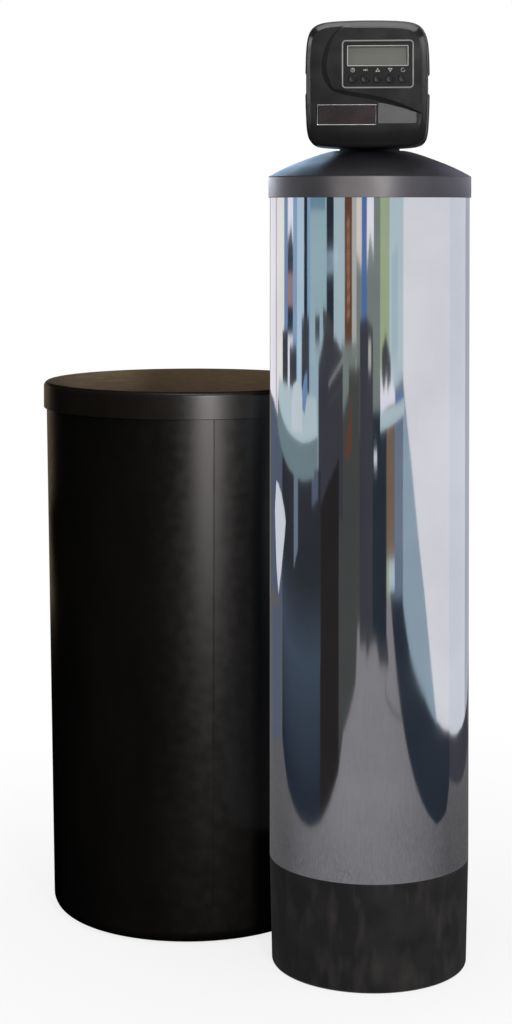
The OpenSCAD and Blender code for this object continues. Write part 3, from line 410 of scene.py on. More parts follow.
def rounded(width, height, radius, at, y, steps=8):
    """A rectangle with round corners, facing -Y."""
    points = []
    for quarter, (sx, sz) in enumerate([(1, 1), (-1, 1), (-1, -1), (1, -1)]):
        cx = at[0] + sx * (width / 2 - radius)
        cz = at[1] + sz * (height / 2 - radius)
        for k in range(steps + 1):
            a = math.pi / 2 * (quarter + k / steps)
            points.append((cx + radius * math.cos(a), y, cz + radius * math.sin(a)))
    return points


def rim(skin, width, height, radius, band, at, back, front, bevel):
    """A rectangular frame with rounded front edges."""
    loops = []
    inner = max(radius - band, 0.3)
    for inset, y in [(0.0, back), (0.0, front + bevel), (bevel * 0.3, front + bevel * 0.3), (bevel, front)]:
        corner = radius - min(inset, radius * 0.8)
        loops.append(rounded(width - 2 * inset, height - 2 * inset, corner, at, y))
    for inset, y in [(bevel, front), (bevel * 0.3, front + bevel * 0.3), (0.0, front + bevel), (0.0, back)]:
        grow = band - inset
        loops.append(rounded(width - 2 * grow, height - 2 * grow, inner + inset, at, y))
    skin.loft(loops, closed=True)


def prism(skin, outline, back, front, holes=()):
    """A flat shape drawn in X and Z, given a thickness along Y."""
    sides = [skin.loft([[(x, y, z) for x, z in line] for y in (front, back)]) for line in [outline, *holes]]
    for loops in zip(*sides):
        skin.cap(loops[0], loops[1:])


def edges(node):
    """Lowest and highest corner of a CAD node, in millimetres."""
    low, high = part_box(node)
    return Vector(low) / MM, Vector(high) / MM


# Camera

camera_data = bpy.data.cameras.new("camera")
camera_data.lens = 73.83
camera_data.sensor_width = 36.0
camera_data.shift_y = -0.257
camera_data.clip_end = 100.0
camera = bpy.data.objects.new("camera", camera_data)
camera.location = (0.141, -3.226, 1.165)
camera.rotation_euler = (math.radians(88.8), 0.0, math.radians(5.597))
scene.collection.objects.link(camera)
scene.camera = camera


# Resin tank, its jacket, base and dome cover

jacket_low, jacket_high = edges("steel_jacket")
base_low, base_high = edges("tank_base")
dome_low, dome_high = edges("dome_cover")
RESIN_AT = (0.0, 0.0)
JACKET_R = jacket_high.x
JACKET_WALL = 0.8
ROUND = even_angles(256)

jacket_profile = filleted([
    (JACKET_R, jacket_low.z, 0.35), (JACKET_R, jacket_high.z, 0.35),
    (JACKET_R - JACKET_WALL, jacket_high.z, 0.3), (JACKET_R - JACKET_WALL, jacket_low.z, 0.3)], step=45.0)
make("jacket_shell", lathe(jacket_profile, RESIN_AT, ROUND),
     "softener", "polished_steel", ["steel_jacket"], weighted=True)

# The sheet laps over itself behind, in a thin upright strip
SEAM_HALF = 7.0
SEAM_RISE = 0.7
SEAM_LINE = [(-1.0, -0.2), (-1.0, SEAM_RISE * 0.6), (-0.93, SEAM_RISE)]
SEAM_LINE += [(-share, rise) for share, rise in reversed(SEAM_LINE)]
seam = Skin()
seam_loops = []
for z in (jacket_low.z + 1.5, dome_low.z - 0.5):
    loop = []
    for share, rise in SEAM_LINE:
        a = math.pi / 2 + share * SEAM_HALF / JACKET_R
        loop.append(((JACKET_R + rise) * math.cos(a), (JACKET_R + rise) * math.sin(a), z))
    seam_loops.append(loop)
for loop in seam.loft(seam_loops):
    seam.cap(loop)
make("jacket_seam", seam, "softener", "polished_steel")

FOOT_R = JACKET_R - 3.5
RIM_R = JACKET_R - JACKET_WALL - 0.3
TANK_R = 148.3
LEDGE = jacket_low.z
BOWL_Z = 90.0
BOWL_DEPTH = 80.3
BOWL_STEPS = 16
base_profile = filleted([
    (0.0, base_low.z, 0.0), (FOOT_R, base_low.z, 5.0), (JACKET_R, LEDGE, 1.2), (RIM_R, LEDGE, 0.0),
    (RIM_R, base_high.z, 1.0), (TANK_R, base_high.z, 0.8), (TANK_R, BOWL_Z, 0.0)], closed=False)
for k in range(1, BOWL_STEPS):
    a = math.pi / 2 * k / BOWL_STEPS
    base_profile.append((TANK_R * math.cos(a), BOWL_Z - BOWL_DEPTH * math.sin(a)))
base_profile.append((0.0, BOWL_Z - BOWL_DEPTH))
make("base_shell", lathe(base_profile, RESIN_AT, ROUND, closed=False),
     "softener", "base_black", ["tank_base"], weighted=True)

# The dome is a shallow cap over a short collar, with a soft crease between them
COLLAR_R = dome_high.x
COLLAR_H = 32.0
CAP_H = 42.0
DOME_TOP = dome_low.z + COLLAR_H + CAP_H
DOME_ARC = (COLLAR_R ** 2 + CAP_H ** 2) / (2 * CAP_H)
DOME_WALL = 2.5
DOME_IN = 149.7
HOLE_R = 54.0
CREASE = 1.4
CROWN_RISE = 2.4
CROWN_R = 110.0
CAP_STEPS = 28
INNER_STEPS = 14


def dome_z(radius):
    crown = CROWN_RISE * (1 - smooth(HOLE_R, CROWN_R, radius))
    return DOME_TOP - DOME_ARC + math.sqrt(DOME_ARC ** 2 - radius ** 2) + crown


shoulder = COLLAR_R - 8.0
COLLAR_TOP = dome_z(COLLAR_R) - 1.0
dome_profile = [(COLLAR_R, COLLAR_TOP)] + filleted([
    (COLLAR_R, dome_low.z, 0.0), (COLLAR_R, dome_z(COLLAR_R), CREASE), (shoulder, dome_z(shoulder), 0.0)],
    closed=False, step=8.0)[1:]
for k in range(1, CAP_STEPS + 1):
    r = shoulder + (HOLE_R + 1.5 - shoulder) * k / CAP_STEPS
    dome_profile.append((r, dome_z(r)))
dome_profile += [(HOLE_R + 0.4, dome_z(HOLE_R) - 0.5), (HOLE_R, dome_z(HOLE_R) - 1.3)]
for k in range(INNER_STEPS + 1):
    r = HOLE_R + (DOME_IN - HOLE_R) * k / INNER_STEPS
    dome_profile.append((r, dome_z(r) - DOME_WALL))
dome_profile.append((DOME_IN, COLLAR_TOP))
dome_piece = make("dome_shell", lathe(dome_profile, RESIN_AT, ROUND),
                  "softener", "dome_grey", ["dome_cover"], weighted=True)
collar_profile = [
    (COLLAR_R - 0.5, dome_low.z), (COLLAR_R, dome_low.z + 0.6), (COLLAR_R, COLLAR_TOP),
    (DOME_IN, COLLAR_TOP), (DOME_IN, jacket_high.z), (JACKET_R + 0.3, jacket_high.z),
    (JACKET_R + 0.3, dome_low.z + 0.6), (JACKET_R + 0.7, dome_low.z)]
collar_piece = make("dome_collar", lathe(collar_profile, RESIN_AT, ROUND),
                    "softener", "dome_grey", weighted=True)


# Brine tank and lid

lid_low, lid_high = edges("brine_lid")
tub_low, tub_high = edges("brine_tank")
BRINE_AT = ((lid_low.x + lid_high.x) / 2, (lid_low.y + lid_high.y) / 2)
LID_R = (lid_high.x - lid_low.x) / 2
LID_TOP = lid_high.z - 1.5
LID_WALL = 3.0
TUB_TOP_R = 240.0
TUB_FOOT_R = 227.5
TUB_WALL = 4.0
TUB_FLOOR = 6.0

# Mould parting lines run down the tub at two opposite bearings
PARTING = math.radians(-73.9)
PART_HALF = 1.3
PART_RISE = 0.45
PART_CLEAR = 6.0
NEAR_PART = [-3.2, -1.3, -0.7, 0.0, 0.7, 1.3, 3.2]


def from_part(a):
    """Distance round the tub to the nearer parting line."""
    return min(abs(math.remainder(a - PARTING - turn, TURN)) for turn in (0.0, math.pi)) * TUB_TOP_R


def parting(a, z):
    return PART_RISE * max(0.0, 1 - from_part(a) / PART_HALF) * smooth(20.0, 60.0, z)


tub_angles = [a for a in even_angles(240) if from_part(a) > PART_CLEAR]
for turn in (0.0, math.pi):
    tub_angles += [(PARTING + turn + s / TUB_TOP_R) % TURN for s in NEAR_PART]
tub_angles.sort()
tub_profile = filleted([
    (0.0, tub_low.z, 0.0), (TUB_FOOT_R, tub_low.z, 22.0), (TUB_TOP_R, tub_high.z, 1.2),
    (TUB_TOP_R - TUB_WALL, tub_high.z, 1.0), (TUB_FOOT_R - TUB_WALL, TUB_FLOOR, 18.0),
    (0.0, TUB_FLOOR, 0.0)], closed=False, step=8.0)
tub_piece = make("tub_shell", lathe(tub_profile, BRINE_AT, tub_angles, closed=False, swell=parting),
                 "softener", "tub_black", ["brine_tank"], weighted=True)

lid_profile = filleted([
    (0.0, LID_TOP + 1.5, 0.0), (LID_R * 0.55, LID_TOP + 1.2, 60.0), (LID_R, LID_TOP, 8.0),
    (LID_R, lid_low.z, 0.8), (LID_R - LID_WALL, lid_low.z, 0.8), (LID_R - LID_WALL, LID_TOP - LID_WALL, 0.0),
    (0.0, LID_TOP - LID_WALL, 0.0)], closed=False, step=8.0)
# The lid wears the lighter copy of the tub's plastic, a painted warm sheen
lid_piece = make("lid_shell", lathe(lid_profile, BRINE_AT, even_angles(256), closed=False),
                 "brine_lid", "tub_black", ["brine_lid"], look="lid_sheen_black", weighted=True)


# Valve cover

cover_low, cover_high = edges("front_cover")
COVER_W = cover_high.x - cover_low.x
COVER_LOW = cover_low.z
COVER_TOP = cover_high.z
COVER_BACK = cover_high.y
DEPTH = 57.0
FACE_Y = COVER_BACK - DEPTH
FACE_WALL = 5.0
PANEL_Y = cover_low.y
FACE_IN = FACE_Y + FACE_WALL
COVER_WALL = 2.5
COVER_N = 360
TOP_CORNER = 7.5
LOW_CORNER = 11
BOW = 0.04
DISPLAY_X = 16.7
BEZEL = (106.7, 71.5)
BEZEL_AT = (DISPLAY_X, 1373.25)
WINDOW = (89.4, 29.3)
WINDOW_AT = (DISPLAY_X, 1385.65)
BUTTON_R = 6.25
BUTTON_PITCH = 18.5
BUTTONS_Z = 1351.6
FIT = 0.3
KNUCKLE = 44.0
LOW_DRAFT = 2.0
LOW_ROUND = 30.0
RECESS_Z = (1332.0, 1358.0)
RECESS_IN = 2.4
RECESS_END = (43.9, 44.4)
RECESS_EDGE = 3
CHAMFER_START = 49.6
LIP_END = 3.6
LIP_LINE = [
    (0.0, 0.0), (43.6, 0.8), (44.0, 0.95), (44.2, 1.25), (44.3, 2.5), (44.5, 2.8), (45.0, 2.95),
    (47.6, 3.05), (48.6, 3.2), (CHAMFER_START, LIP_END)]
SIDE_END = 9.2
TOP_END = 9.8


def cover_ring(side, top, bottom, depth, pinch=0.0):
    """A ring round the cover, drawn in from its sides, top and bottom, at a depth from its back."""
    w = COVER_W / 2 - side
    h = (COVER_TOP - top - COVER_LOW - bottom) / 2
    mid = (COVER_TOP - top + COVER_LOW + bottom) / 2
    ring = []
    for a in even_angles(COVER_N):
        c = math.cos(a)
        s = math.sin(a)
        corner = TOP_CORNER if s > 0 else LOW_CORNER
        r = (abs(c) ** corner + abs(s) ** corner) ** (-1 / corner)
        u = r * c
        v = r * s
        x = w * u * (1 - BOW * v * v)
        z = mid + h * v * (1 - BOW * u * u)
        if pinch and abs(u) > 0.5:
            grip = smooth(RECESS_Z[0] - RECESS_EDGE, RECESS_Z[0], z)
            grip *= 1 - smooth(RECESS_Z[1], RECESS_Z[1] + RECESS_EDGE, z)
            x -= math.copysign(pinch * grip, x)
        ring.append((x, COVER_BACK - depth, z))
    return ring


def drawn_in(depth, end):
    """Draw-in of the sides or top: a drafted back lip, a shoulder, a short wall and a chamfer."""
    for (d0, v0), (d1, v1) in zip(LIP_LINE, LIP_LINE[1:]):
        if depth <= d1:
            return v0 + (v1 - v0) * (depth - d0) / (d1 - d0)
    return LIP_END + (end - LIP_END) * (depth - CHAMFER_START) / (DEPTH - CHAMFER_START)


def low_in(depth):
    """Draw-in of the bottom, which curves round into the face."""
    if depth <= KNUCKLE:
        return LOW_DRAFT * depth / KNUCKLE
    share = min(1.0, (depth - KNUCKLE) / (DEPTH - KNUCKLE))
    return LOW_DRAFT + LOW_ROUND * (1 - math.sqrt(1 - share * share))


def cover_loop(depth, wall=0.0):
    """A ring of the cover's outside, or of its inside where a wall is given."""
    pinch = RECESS_IN * (1 - smooth(*RECESS_END, depth))
    reach = depth * (DEPTH - FACE_WALL) / DEPTH if wall else depth
    drawn = [drawn_in(depth, SIDE_END), drawn_in(depth, TOP_END), low_in(depth)]
    return cover_ring(*[d + wall for d in drawn], reach, pinch)


CHAMFER_ANGLES = (8, 16, 24, 32, 40, 48, 56, 64, 72, 80, 90)
BACK_ROUND = 0.5
cover = Skin()
depths = [0.6, 8.0, 16.0, 24.0, 32.0, 38.0] + [d for d, _ in LIP_LINE[1:]]
depths += [CHAMFER_START + (DEPTH - CHAMFER_START) * math.sin(math.radians(t)) for t in CHAMFER_ANGLES]
outer = [cover_ring(BACK_ROUND, BACK_ROUND, BACK_ROUND, 0.0, RECESS_IN)] + [cover_loop(d) for d in depths]
inner = [cover_loop(d, COVER_WALL) for d in depths[1:]]
back_rim = cover_ring(COVER_WALL, COVER_WALL, COVER_WALL, 0.0, RECESS_IN)
cover_loops = cover.loft([*reversed(inner), back_rim, *outer])
inner_edge = cover_loops[0]
face_edge = cover_loops[-1]

# The panel's lower edge sweeps from the top left round to the right, where it meets the chamfer
face_points = [cover.points[i] for i in face_edge]
SWEEP_TOP_X = -33.0
SWEEP_END_Z = COVER_TOP - 141.0
UPPER_Z = 1400
upper = [i for i in range(COVER_N) if face_points[i][2] >= UPPER_Z]
right = [i for i in range(COVER_N) if face_points[i][0] >= 0]
i_top = min(upper, key=lambda i: abs(face_points[i][0] - SWEEP_TOP_X))
i_end = min(right, key=lambda i: abs(face_points[i][2] - SWEEP_END_Z))


def cubic(p, t):
    s = 1 - t
    return tuple(s ** 3 * a + 3 * s * s * t * b + 3 * s * t * t * c + t ** 3 * d for a, b, c, d in zip(*p))


top_corner = (face_points[i_top][0], face_points[i_top][2])
end_corner = (face_points[i_end][0], face_points[i_end][2])
sweep_knee = (-50.0, COVER_TOP - 105.0)
sweep_left = [top_corner, (-64.0, COVER_TOP - 20.0), (-82.0, COVER_TOP - 84.0), sweep_knee]
sweep_low = [sweep_knee, (-30.0, COVER_TOP - 118.5), (30.0, COVER_TOP - 115.0), end_corner]
SWEEP_STEPS = 36
sweep = [cubic(sweep_left, k / SWEEP_STEPS) for k in range(1, SWEEP_STEPS + 1)]
sweep += [cubic(sweep_low, k / SWEEP_STEPS) for k in range(1, SWEEP_STEPS)]
sweep_loop = cover.loop([(x, FACE_Y, z) for x, z in sweep])

upper_arc = [(i_end + k) % COVER_N for k in range((i_top - i_end) % COVER_N + 1)]
lower_arc = [(i_top + k) % COVER_N for k in range((i_end - i_top) % COVER_N + 1)]
panel_foot = [face_edge[i] for i in upper_arc] + sweep_loop
face_outline = [face_edge[i] for i in lower_arc] + list(reversed(sweep_loop))

# Width of the slope up to the panel: the chamfer carries on along the top and right, the sweep has its own
SWEEP_WIDTHS = [
    (0.0, 1.2), (0.06, 1.6), (0.25, 8.0), (0.42, 7.0), (0.5, 2.4), (0.58, 5.6), (0.75, 6.2), (1.0, 1.6)]
CHAMFER_RUN = 2.7
CHAMFER_ENDS = 1.2
END_STEPS = 12
EDGE_ROUND = 0.5
widths = []
for k in range(len(upper_arc)):
    ends = min(k, len(upper_arc) - 1 - k) / END_STEPS
    widths.append(CHAMFER_ENDS + (CHAMFER_RUN - CHAMFER_ENDS) * smooth(0.0, 1.0, ends))
widths += [between(SWEEP_WIDTHS, (k + 1) / (len(sweep_loop) + 1)) for k in range(len(sweep_loop))]


def inset(loop, reach, y):
    """A loop moved inwards in X and Z by its own reach at each point, at another y."""
    points = [Vector((p[0], p[2])) for p in loop]
    moved = []
    for k, here in enumerate(points):
        along = points[(k + 1) % len(points)] - points[k - 1]
        inward = Vector((-along.y, along.x)).normalized()
        moved.append((here.x + inward.x * reach[k], y, here.y + inward.y * reach[k]))
    return moved


brow = inset([cover.points[i] for i in panel_foot], widths, PANEL_Y + EDGE_ROUND)
edge_rings = cover.loft([
    brow, inset(brow, [EDGE_ROUND * 0.35] * len(brow), PANEL_Y + EDGE_ROUND * 0.3),
    inset(brow, [EDGE_ROUND] * len(brow), PANEL_Y)])
cover.band(panel_foot, edge_rings[0])
panel_edge = edge_rings[-1]

# A shallow ramp is sunk into the face under the sweep, right of the badge
SCOOP_LEFT = 17.5
SCOOP_RIGHT = 74.0
SCOOP_LOW = 1285.5
SCOOP_SLOPE = 4.2 / 30.0
scoop_top = [(x, z - 0.6) for x, z in sweep if SCOOP_LEFT + 2 < x < SCOOP_RIGHT - 2]
scoop_line = [
    (SCOOP_LEFT, SCOOP_LOW + 0.4), (SCOOP_RIGHT - 2.5, SCOOP_LOW + 0.4),
    (SCOOP_RIGHT - 0.6, SCOOP_LOW + 1.4), (SCOOP_RIGHT, SCOOP_LOW + 3.5),
    (SCOOP_RIGHT, scoop_top[-1][1] - 1.2), *reversed(scoop_top), (SCOOP_LEFT, scoop_top[0][1] + 0.2)]
scoop_edge = cover.loop([(x, FACE_Y, z) for x, z in scoop_line])
scoop_bed = cover.loop([(x, FACE_Y + SCOOP_SLOPE * (z - SCOOP_LOW), z) for x, z in scoop_line])
cover.band(scoop_edge, scoop_bed)
cover.cap(scoop_bed)
cover.cap(face_outline, [scoop_edge])

BUTTON_PLACES = range(-2, 3)
BUTTON_GAP = 0.4


def button_x(place):
    return DISPLAY_X + place * BUTTON_PITCH


# Pocket for the bezel, seat for the lens, window and button holes, through to the inner face
FLOOR_Y = PANEL_Y + 1.0
SEAT_Y = FLOOR_Y + 1.5
pocket = [rounded(BEZEL[0] + 2 * FIT, BEZEL[1] + 2 * FIT, 6.3, BEZEL_AT, y) for y in (PANEL_Y, FLOOR_Y)]
seat = [rounded(WINDOW[0] + 6.6, WINDOW[1] + 6.6, 0.5, WINDOW_AT, y) for y in (FLOOR_Y, SEAT_Y)]
view_hole = [rounded(WINDOW[0] + 2, WINDOW[1] + 2, 0.5, WINDOW_AT, y) for y in (SEAT_Y, FACE_IN)]
pocket_loops = cover.loft(pocket)
seat_loops = cover.loft(seat)
view_loops = cover.loft(view_hole)
button_loops = []
for place in BUTTON_PLACES:
    ring = ring_points(button_x(place), BUTTONS_Z, BUTTON_R + BUTTON_GAP)
    button_loops.append(cover.loft([[(u, y, v) for u, v in ring] for y in (FLOOR_Y, FACE_IN)]))
cover.cap(panel_edge, [pocket_loops[0]])
cover.cap(pocket_loops[1], [seat_loops[0]] + [pair[0] for pair in button_loops])
cover.cap(seat_loops[1], [view_loops[0]])
cover.cap(inner_edge, [view_loops[1]] + [pair[1] for pair in button_loops])
cover_piece = make("cover_shell", cover, "cover", "cover_black", ["front_cover"], sharp=13.0, weighted=True)

bezel = Skin()
rim(bezel, BEZEL[0], BEZEL[1], 6.0, 2.2, BEZEL_AT, FLOOR_Y, PANEL_Y - 0.8, 0.7)
make("bezel_rim", bezel, "cover", "bezel_grey", ["display_bezel"], sharp=40.0)

OVERLAY_FRONT = edges("display_overlay")[0].y
window_line = Skin()
rim(window_line, WINDOW[0] + 1.2, WINDOW[1] + 1.2, 1.0, 1.1, WINDOW_AT, OVERLAY_FRONT + 0.1,
    OVERLAY_FRONT - 0.25, 0.15)
make("window_line", window_line, "cover", "bezel_grey", look="line_grey")

# Plain signs over the buttons: a clock, an arrow to a bar, up, down, and a turning arrow
ICONS_Z = 1364.6
icons = Skin()
sign_back = OVERLAY_FRONT + 0.05
sign_front = OVERLAY_FRONT - 0.12


def icon(place, outline, holes=()):
    """A sign over a button, drawn in X and Z from its own centre."""
    moved = [[(button_x(place) + x, ICONS_Z + z) for x, z in line] for line in (outline, *holes)]
    prism(icons, moved[0], sign_back, sign_front, moved[1:])


TURN_ARC = (math.radians(40), math.radians(290))
icon(-2, ring_points(0, 0, 3.1), [ring_points(0, 0, 2.45)])
icon(-2, [(-0.3, -0.3), (1.6, -0.3), (1.6, 0.3), (0.3, 0.3), (0.3, 2.0), (-0.3, 2.0)])
icon(-1, [(-3.2, -0.45), (-0.2, -0.45), (-0.2, -1.7), (2.2, 0.0), (-0.2, 1.7), (-0.2, 0.45), (-3.2, 0.45)])
icon(-1, [(2.6, -1.7), (3.2, -1.7), (3.2, 1.7), (2.6, 1.7)])
for place, up in ((0, 1), (1, -1)):
    icon(place, [(-3.4, -up * 2.6), (3.4, -up * 2.6), (0.0, up * 3.0)],
         [[(-1.9, -up * 1.75), (1.9, -up * 1.75), (0.0, up * 1.4)]])
icon(2, ring_points(0, 0, 2.9, *TURN_ARC) + list(reversed(ring_points(0, 0, 2.25, *TURN_ARC))))
icon(2, [(1.2, -2.4), (3.6, -2.2), (2.9, 0.1)])
make("button_signs", icons, "cover", "bezel_grey", look="line_grey")

# Buttons with a dished top, a keeping flange and a stem
button_low, button_high = edges("button_up")
BUTTON_FRONT = button_low.y
BUTTON_BACK = button_high.y
FLANGE_Y = FACE_IN + FIT
for place, name in zip(BUTTON_PLACES, ("clock", "next", "up", "down", "start")):
    button = Skin()
    top = [(0.0, BUTTON_FRONT + 0.45), (2.2, BUTTON_FRONT + 0.38), (4.0, BUTTON_FRONT + 0.16),
           (5.0, BUTTON_FRONT + 0.02), (5.5, BUTTON_FRONT), (5.9, BUTTON_FRONT + 0.12),
           (6.15, BUTTON_FRONT + 0.38), (BUTTON_R, BUTTON_FRONT + 0.8)]
    stem = [(BUTTON_R, FLANGE_Y), (BUTTON_R + 1.35, FLANGE_Y), (BUTTON_R + 1.35, FLANGE_Y + 1.2),
            (2.5, FLANGE_Y + 1.2), (2.5, BUTTON_BACK), (0.0, BUTTON_BACK)]
    turned_y(button, top + stem, button_x(place), BUTTONS_Z)
    make(f"button_{name}_cap", button, f"button_{name}", "button_black", [f"button_{name}"])

# Bare badge: a bright frame round a dark brushed plate
badge_low, badge_high = edges("badge_frame")
BADGE = (badge_high.x - badge_low.x, badge_high.z - badge_low.z)
BADGE_AT = ((badge_low.x + badge_high.x) / 2, (badge_low.z + badge_high.z) / 2)
badge = Skin()
rim(badge, BADGE[0], BADGE[1], 2.0, 2.0, BADGE_AT, badge_high.y, badge_low.y, 0.8)
badge_piece = make("badge_rim", badge, "cover", "badge_chrome", ["badge_frame"], sharp=40.0)


# Stage: a pale floor, and a set of cards that only reflections see

FLOOR_SIZE = 14.0
WHITE = (1.0, 1.0, 1.0, 1.0)


class Sheet(Nodes):
    """Nodes of a stage material or of the world, built from nothing."""

    def __init__(self, owner, ending="ShaderNodeOutputMaterial"):
        super().__init__(owner)
        self.tree.nodes.clear()
        self.ending = ending

    def math(self, operation, first, second):
        made = self.node("ShaderNodeMath", operation)
        self.put(made.inputs[0], first)
        self.put(made.inputs[1], second)
        return made.outputs[0]

    def in_sight(self):
        """1 for rays of the camera, of reflections and through clear pieces."""
        path = self.node("ShaderNodeLightPath").outputs
        seen = self.math("MAXIMUM", path["Is Camera Ray"], path["Is Glossy Ray"])
        return self.math("MAXIMUM", seen, path["Is Transmission Ray"])

    def pick(self, share, first, second):
        made = self.node("ShaderNodeMixShader", Fac=share)
        self.put(made.inputs[1], first.outputs[0])
        self.put(made.inputs[2], second.outputs[0])
        return made

    def end(self, shader):
        self.node(self.ending, Surface=shader.outputs[0])
        return self.owner


def card_material(name, colour, strength=1.0, top=None, low=0.0, high=1.0):
    """A plain glowing card, or one that runs from a colour at a low height to another at a high one."""
    sheet = Sheet(bpy.data.materials.new(name))
    if top is not None:
        place = sheet.node("ShaderNodeTexCoord").outputs["Object"]
        height = sheet.node("ShaderNodeSeparateXYZ", Vector=place).outputs["Z"]
        colour = sheet.mix(sheet.span(height, 0.0, 1.0, low, high), colour, top)
    return sheet.end(sheet.node("ShaderNodeEmission", Color=colour, Strength=strength))


def light_group(name, pieces, left_out=False):
    """A group of pieces that a card lights alone, or that it leaves unlit."""
    group = bpy.data.collections.new(name)
    for piece in pieces:
        group.objects.link(piece)
    if left_out:
        for item in group.collection_objects:
            item.light_linking.link_state = "EXCLUDE"
    return group


DULL = (tub_piece, lid_piece, cover_piece, dome_piece, collar_piece)
ROOM = light_group("room", DULL, left_out=True)
ON_DOME = light_group("on_dome", [dome_piece])
ON_COLLAR = light_group("on_collar", [collar_piece])
ON_COVER = light_group("on_cover", [cover_piece, badge_piece])
BEHIND = light_group("behind", [cover_piece, dome_piece, collar_piece], left_out=True)
NOT_CAP = light_group("not_cap", [dome_piece], left_out=True)
NOT_DOME = light_group("not_dome", [dome_piece, collar_piece], left_out=True)
ON_BRINE = light_group("on_brine", [tub_piece, lid_piece])


def stage_mesh(name, points, faces, material, group=ROOM, reflections_only=True):
    mesh = bpy.data.meshes.new(name)
    mesh.from_pydata(points, [], faces)
    mesh.materials.append(material)
    piece = bpy.data.objects.new(name, mesh)
    scene.collection.objects.link(piece)
    if reflections_only:
        piece.light_linking.receiver_collection = group
        piece.visible_camera = False
        piece.visible_diffuse = False
        piece.visible_shadow = False
        piece.visible_transmission = False


def bearing(degrees, distance):
    a = math.radians(degrees)
    return distance * math.sin(a), -distance * math.cos(a)


def fence(name, line, low, high, material, group=ROOM):
    """An upright card along plan points, with one height for all of them or one for each."""
    lows = low if isinstance(low, list) else [low] * len(line)
    highs = high if isinstance(high, list) else [high] * len(line)
    points = []
    for (x, y), bottom, top in zip(line, lows, highs):
        points += [(x, y, bottom), (x, y, top)]
    faces = [(2 * k, 2 * k + 2, 2 * k + 3, 2 * k + 1) for k in range(len(line) - 1)]
    stage_mesh(name, points, faces, material, group)


def curved(name, start, end, distance, low, high, material, group=ROOM):
    """An upright card round the resin tank, between two bearings."""
    steps = max(2, round((end - start) / 2))
    line = [bearing(start + (end - start) * k / steps, distance) for k in range(steps + 1)]
    fence(name, line, low, high, material, group)


def ground(name, line, z, material, group=ROOM):
    stage_mesh(name, [(x, y, z) for x, y in line], [tuple(range(len(line)))], material, group)


def floor_material():
    """White to the camera and in reflections, with a shadow near the tanks, and grey to other rays."""
    sheet = Sheet(bpy.data.materials.new("floor"))
    place = sheet.node("ShaderNodeTexCoord").outputs["Object"]
    grain = sheet.node("ShaderNodeTexNoise", Vector=place, Scale=90.0).outputs["Fac"]
    matt = sheet.node("ShaderNodeBsdfDiffuse", Color=sheet.span(grain, 0.86, 0.94, 0.0, 1.0))
    away = sheet.node("ShaderNodeVectorMath", "LENGTH", Vector=place).outputs["Value"]
    white = sheet.node("ShaderNodeEmission", Color=WHITE)
    seen = sheet.pick(sheet.span(away, 0.8, 1.0, 0.25, 1.5), matt, white)
    bounce = sheet.node("ShaderNodeBsdfDiffuse", Color=(0.4, 0.4, 0.4, 1.0))
    return sheet.end(sheet.pick(sheet.in_sight(), bounce, seen))


def carpet_material():
    """Fine-grained grey ground that the jacket mirrors, with painted shade close to the tanks and to their
    sides.
    """
    sheet = Sheet(bpy.data.materials.new("carpet"))
    place = sheet.node("ShaderNodeTexCoord").outputs["Object"]
    grain = sheet.node("ShaderNodeTexNoise", Vector=place, Scale=95.0, Detail=3.0).outputs["Fac"]
    shade = sheet.node("ShaderNodeValToRGB", Fac=grain)
    dark, light = shade.color_ramp.elements
    dark.position = 0.3
    dark.color = rgb(113, 112, 115)
    light.position = 0.7
    light.color = rgb(160, 157, 159)
    away = sheet.node("ShaderNodeVectorMath", "LENGTH", Vector=place).outputs["Value"]
    heading = sheet.node("ShaderNodeVectorMath", "NORMALIZE", Vector=place).outputs["Vector"]
    front = sheet.node("ShaderNodeSeparateXYZ", Vector=heading).outputs["Y"]
    # Painted shadow dims the glow close to the tanks, and painted shade dims it away from the front
    tank_shadow = sheet.span(away, 0.75, 1.0, 0.3, 1.2)
    strength = sheet.math("MULTIPLY", tank_shadow, sheet.span(front, 1.0, 0.5, -0.95, 0.1))
    return sheet.end(sheet.node("ShaderNodeEmission", Color=shade.outputs["Color"], Strength=strength))


def square(half):
    return [(-half, -half), (half, -half), (half, half), (-half, half)]


plan = square(FLOOR_SIZE / 2)
stage_mesh("floor", [(x, y, 0.0) for x, y in plan], [(0, 1, 2, 3)], floor_material(), reflections_only=False)
ground("carpet", plan, 0.003, carpet_material())

PALETTE = {
    "lilac": (244, 243, 251), "cream": (243, 243, 236), "mauve": (208, 184, 198),
    "blue": (120, 148, 184), "steel_blue": (142, 171, 200), "pale_blue": (186, 211, 226),
    "navy": (42, 50, 60), "teal": (160, 186, 193), "deep_teal": (112, 148, 164),
    "mint": (176, 197, 203), "copper": (104, 69, 53), "bright_copper": (206, 158, 128),
    "rose": (164, 136, 134), "beige": (186, 186, 180), "tan": (232, 218, 204), "azure": (88, 119, 172),
    "sage": (126, 136, 130), "olive": (166, 181, 146), "pale_mint": (190, 208, 213),
    "pale": (231, 235, 246), "lavender": (231, 231, 235), "blue_white": (221, 224, 232),
    "shade": (150, 170, 182), "slate": (88, 98, 115), "dusk": (112, 126, 144), "dish": (208, 219, 224),
    "wall_end": (176, 180, 188), "charcoal": (64, 64, 71), "black": (42, 39, 39), "umber": (73, 74, 73),
    "brown": (122, 102, 86), "table_rim": (118, 137, 142), "dark_wall": (52, 52, 57),
    "back_wall": (138, 116, 90),
}
CARDS = {name: card_material("card_" + name, rgb(*colour)) for name, colour in PALETTE.items()}

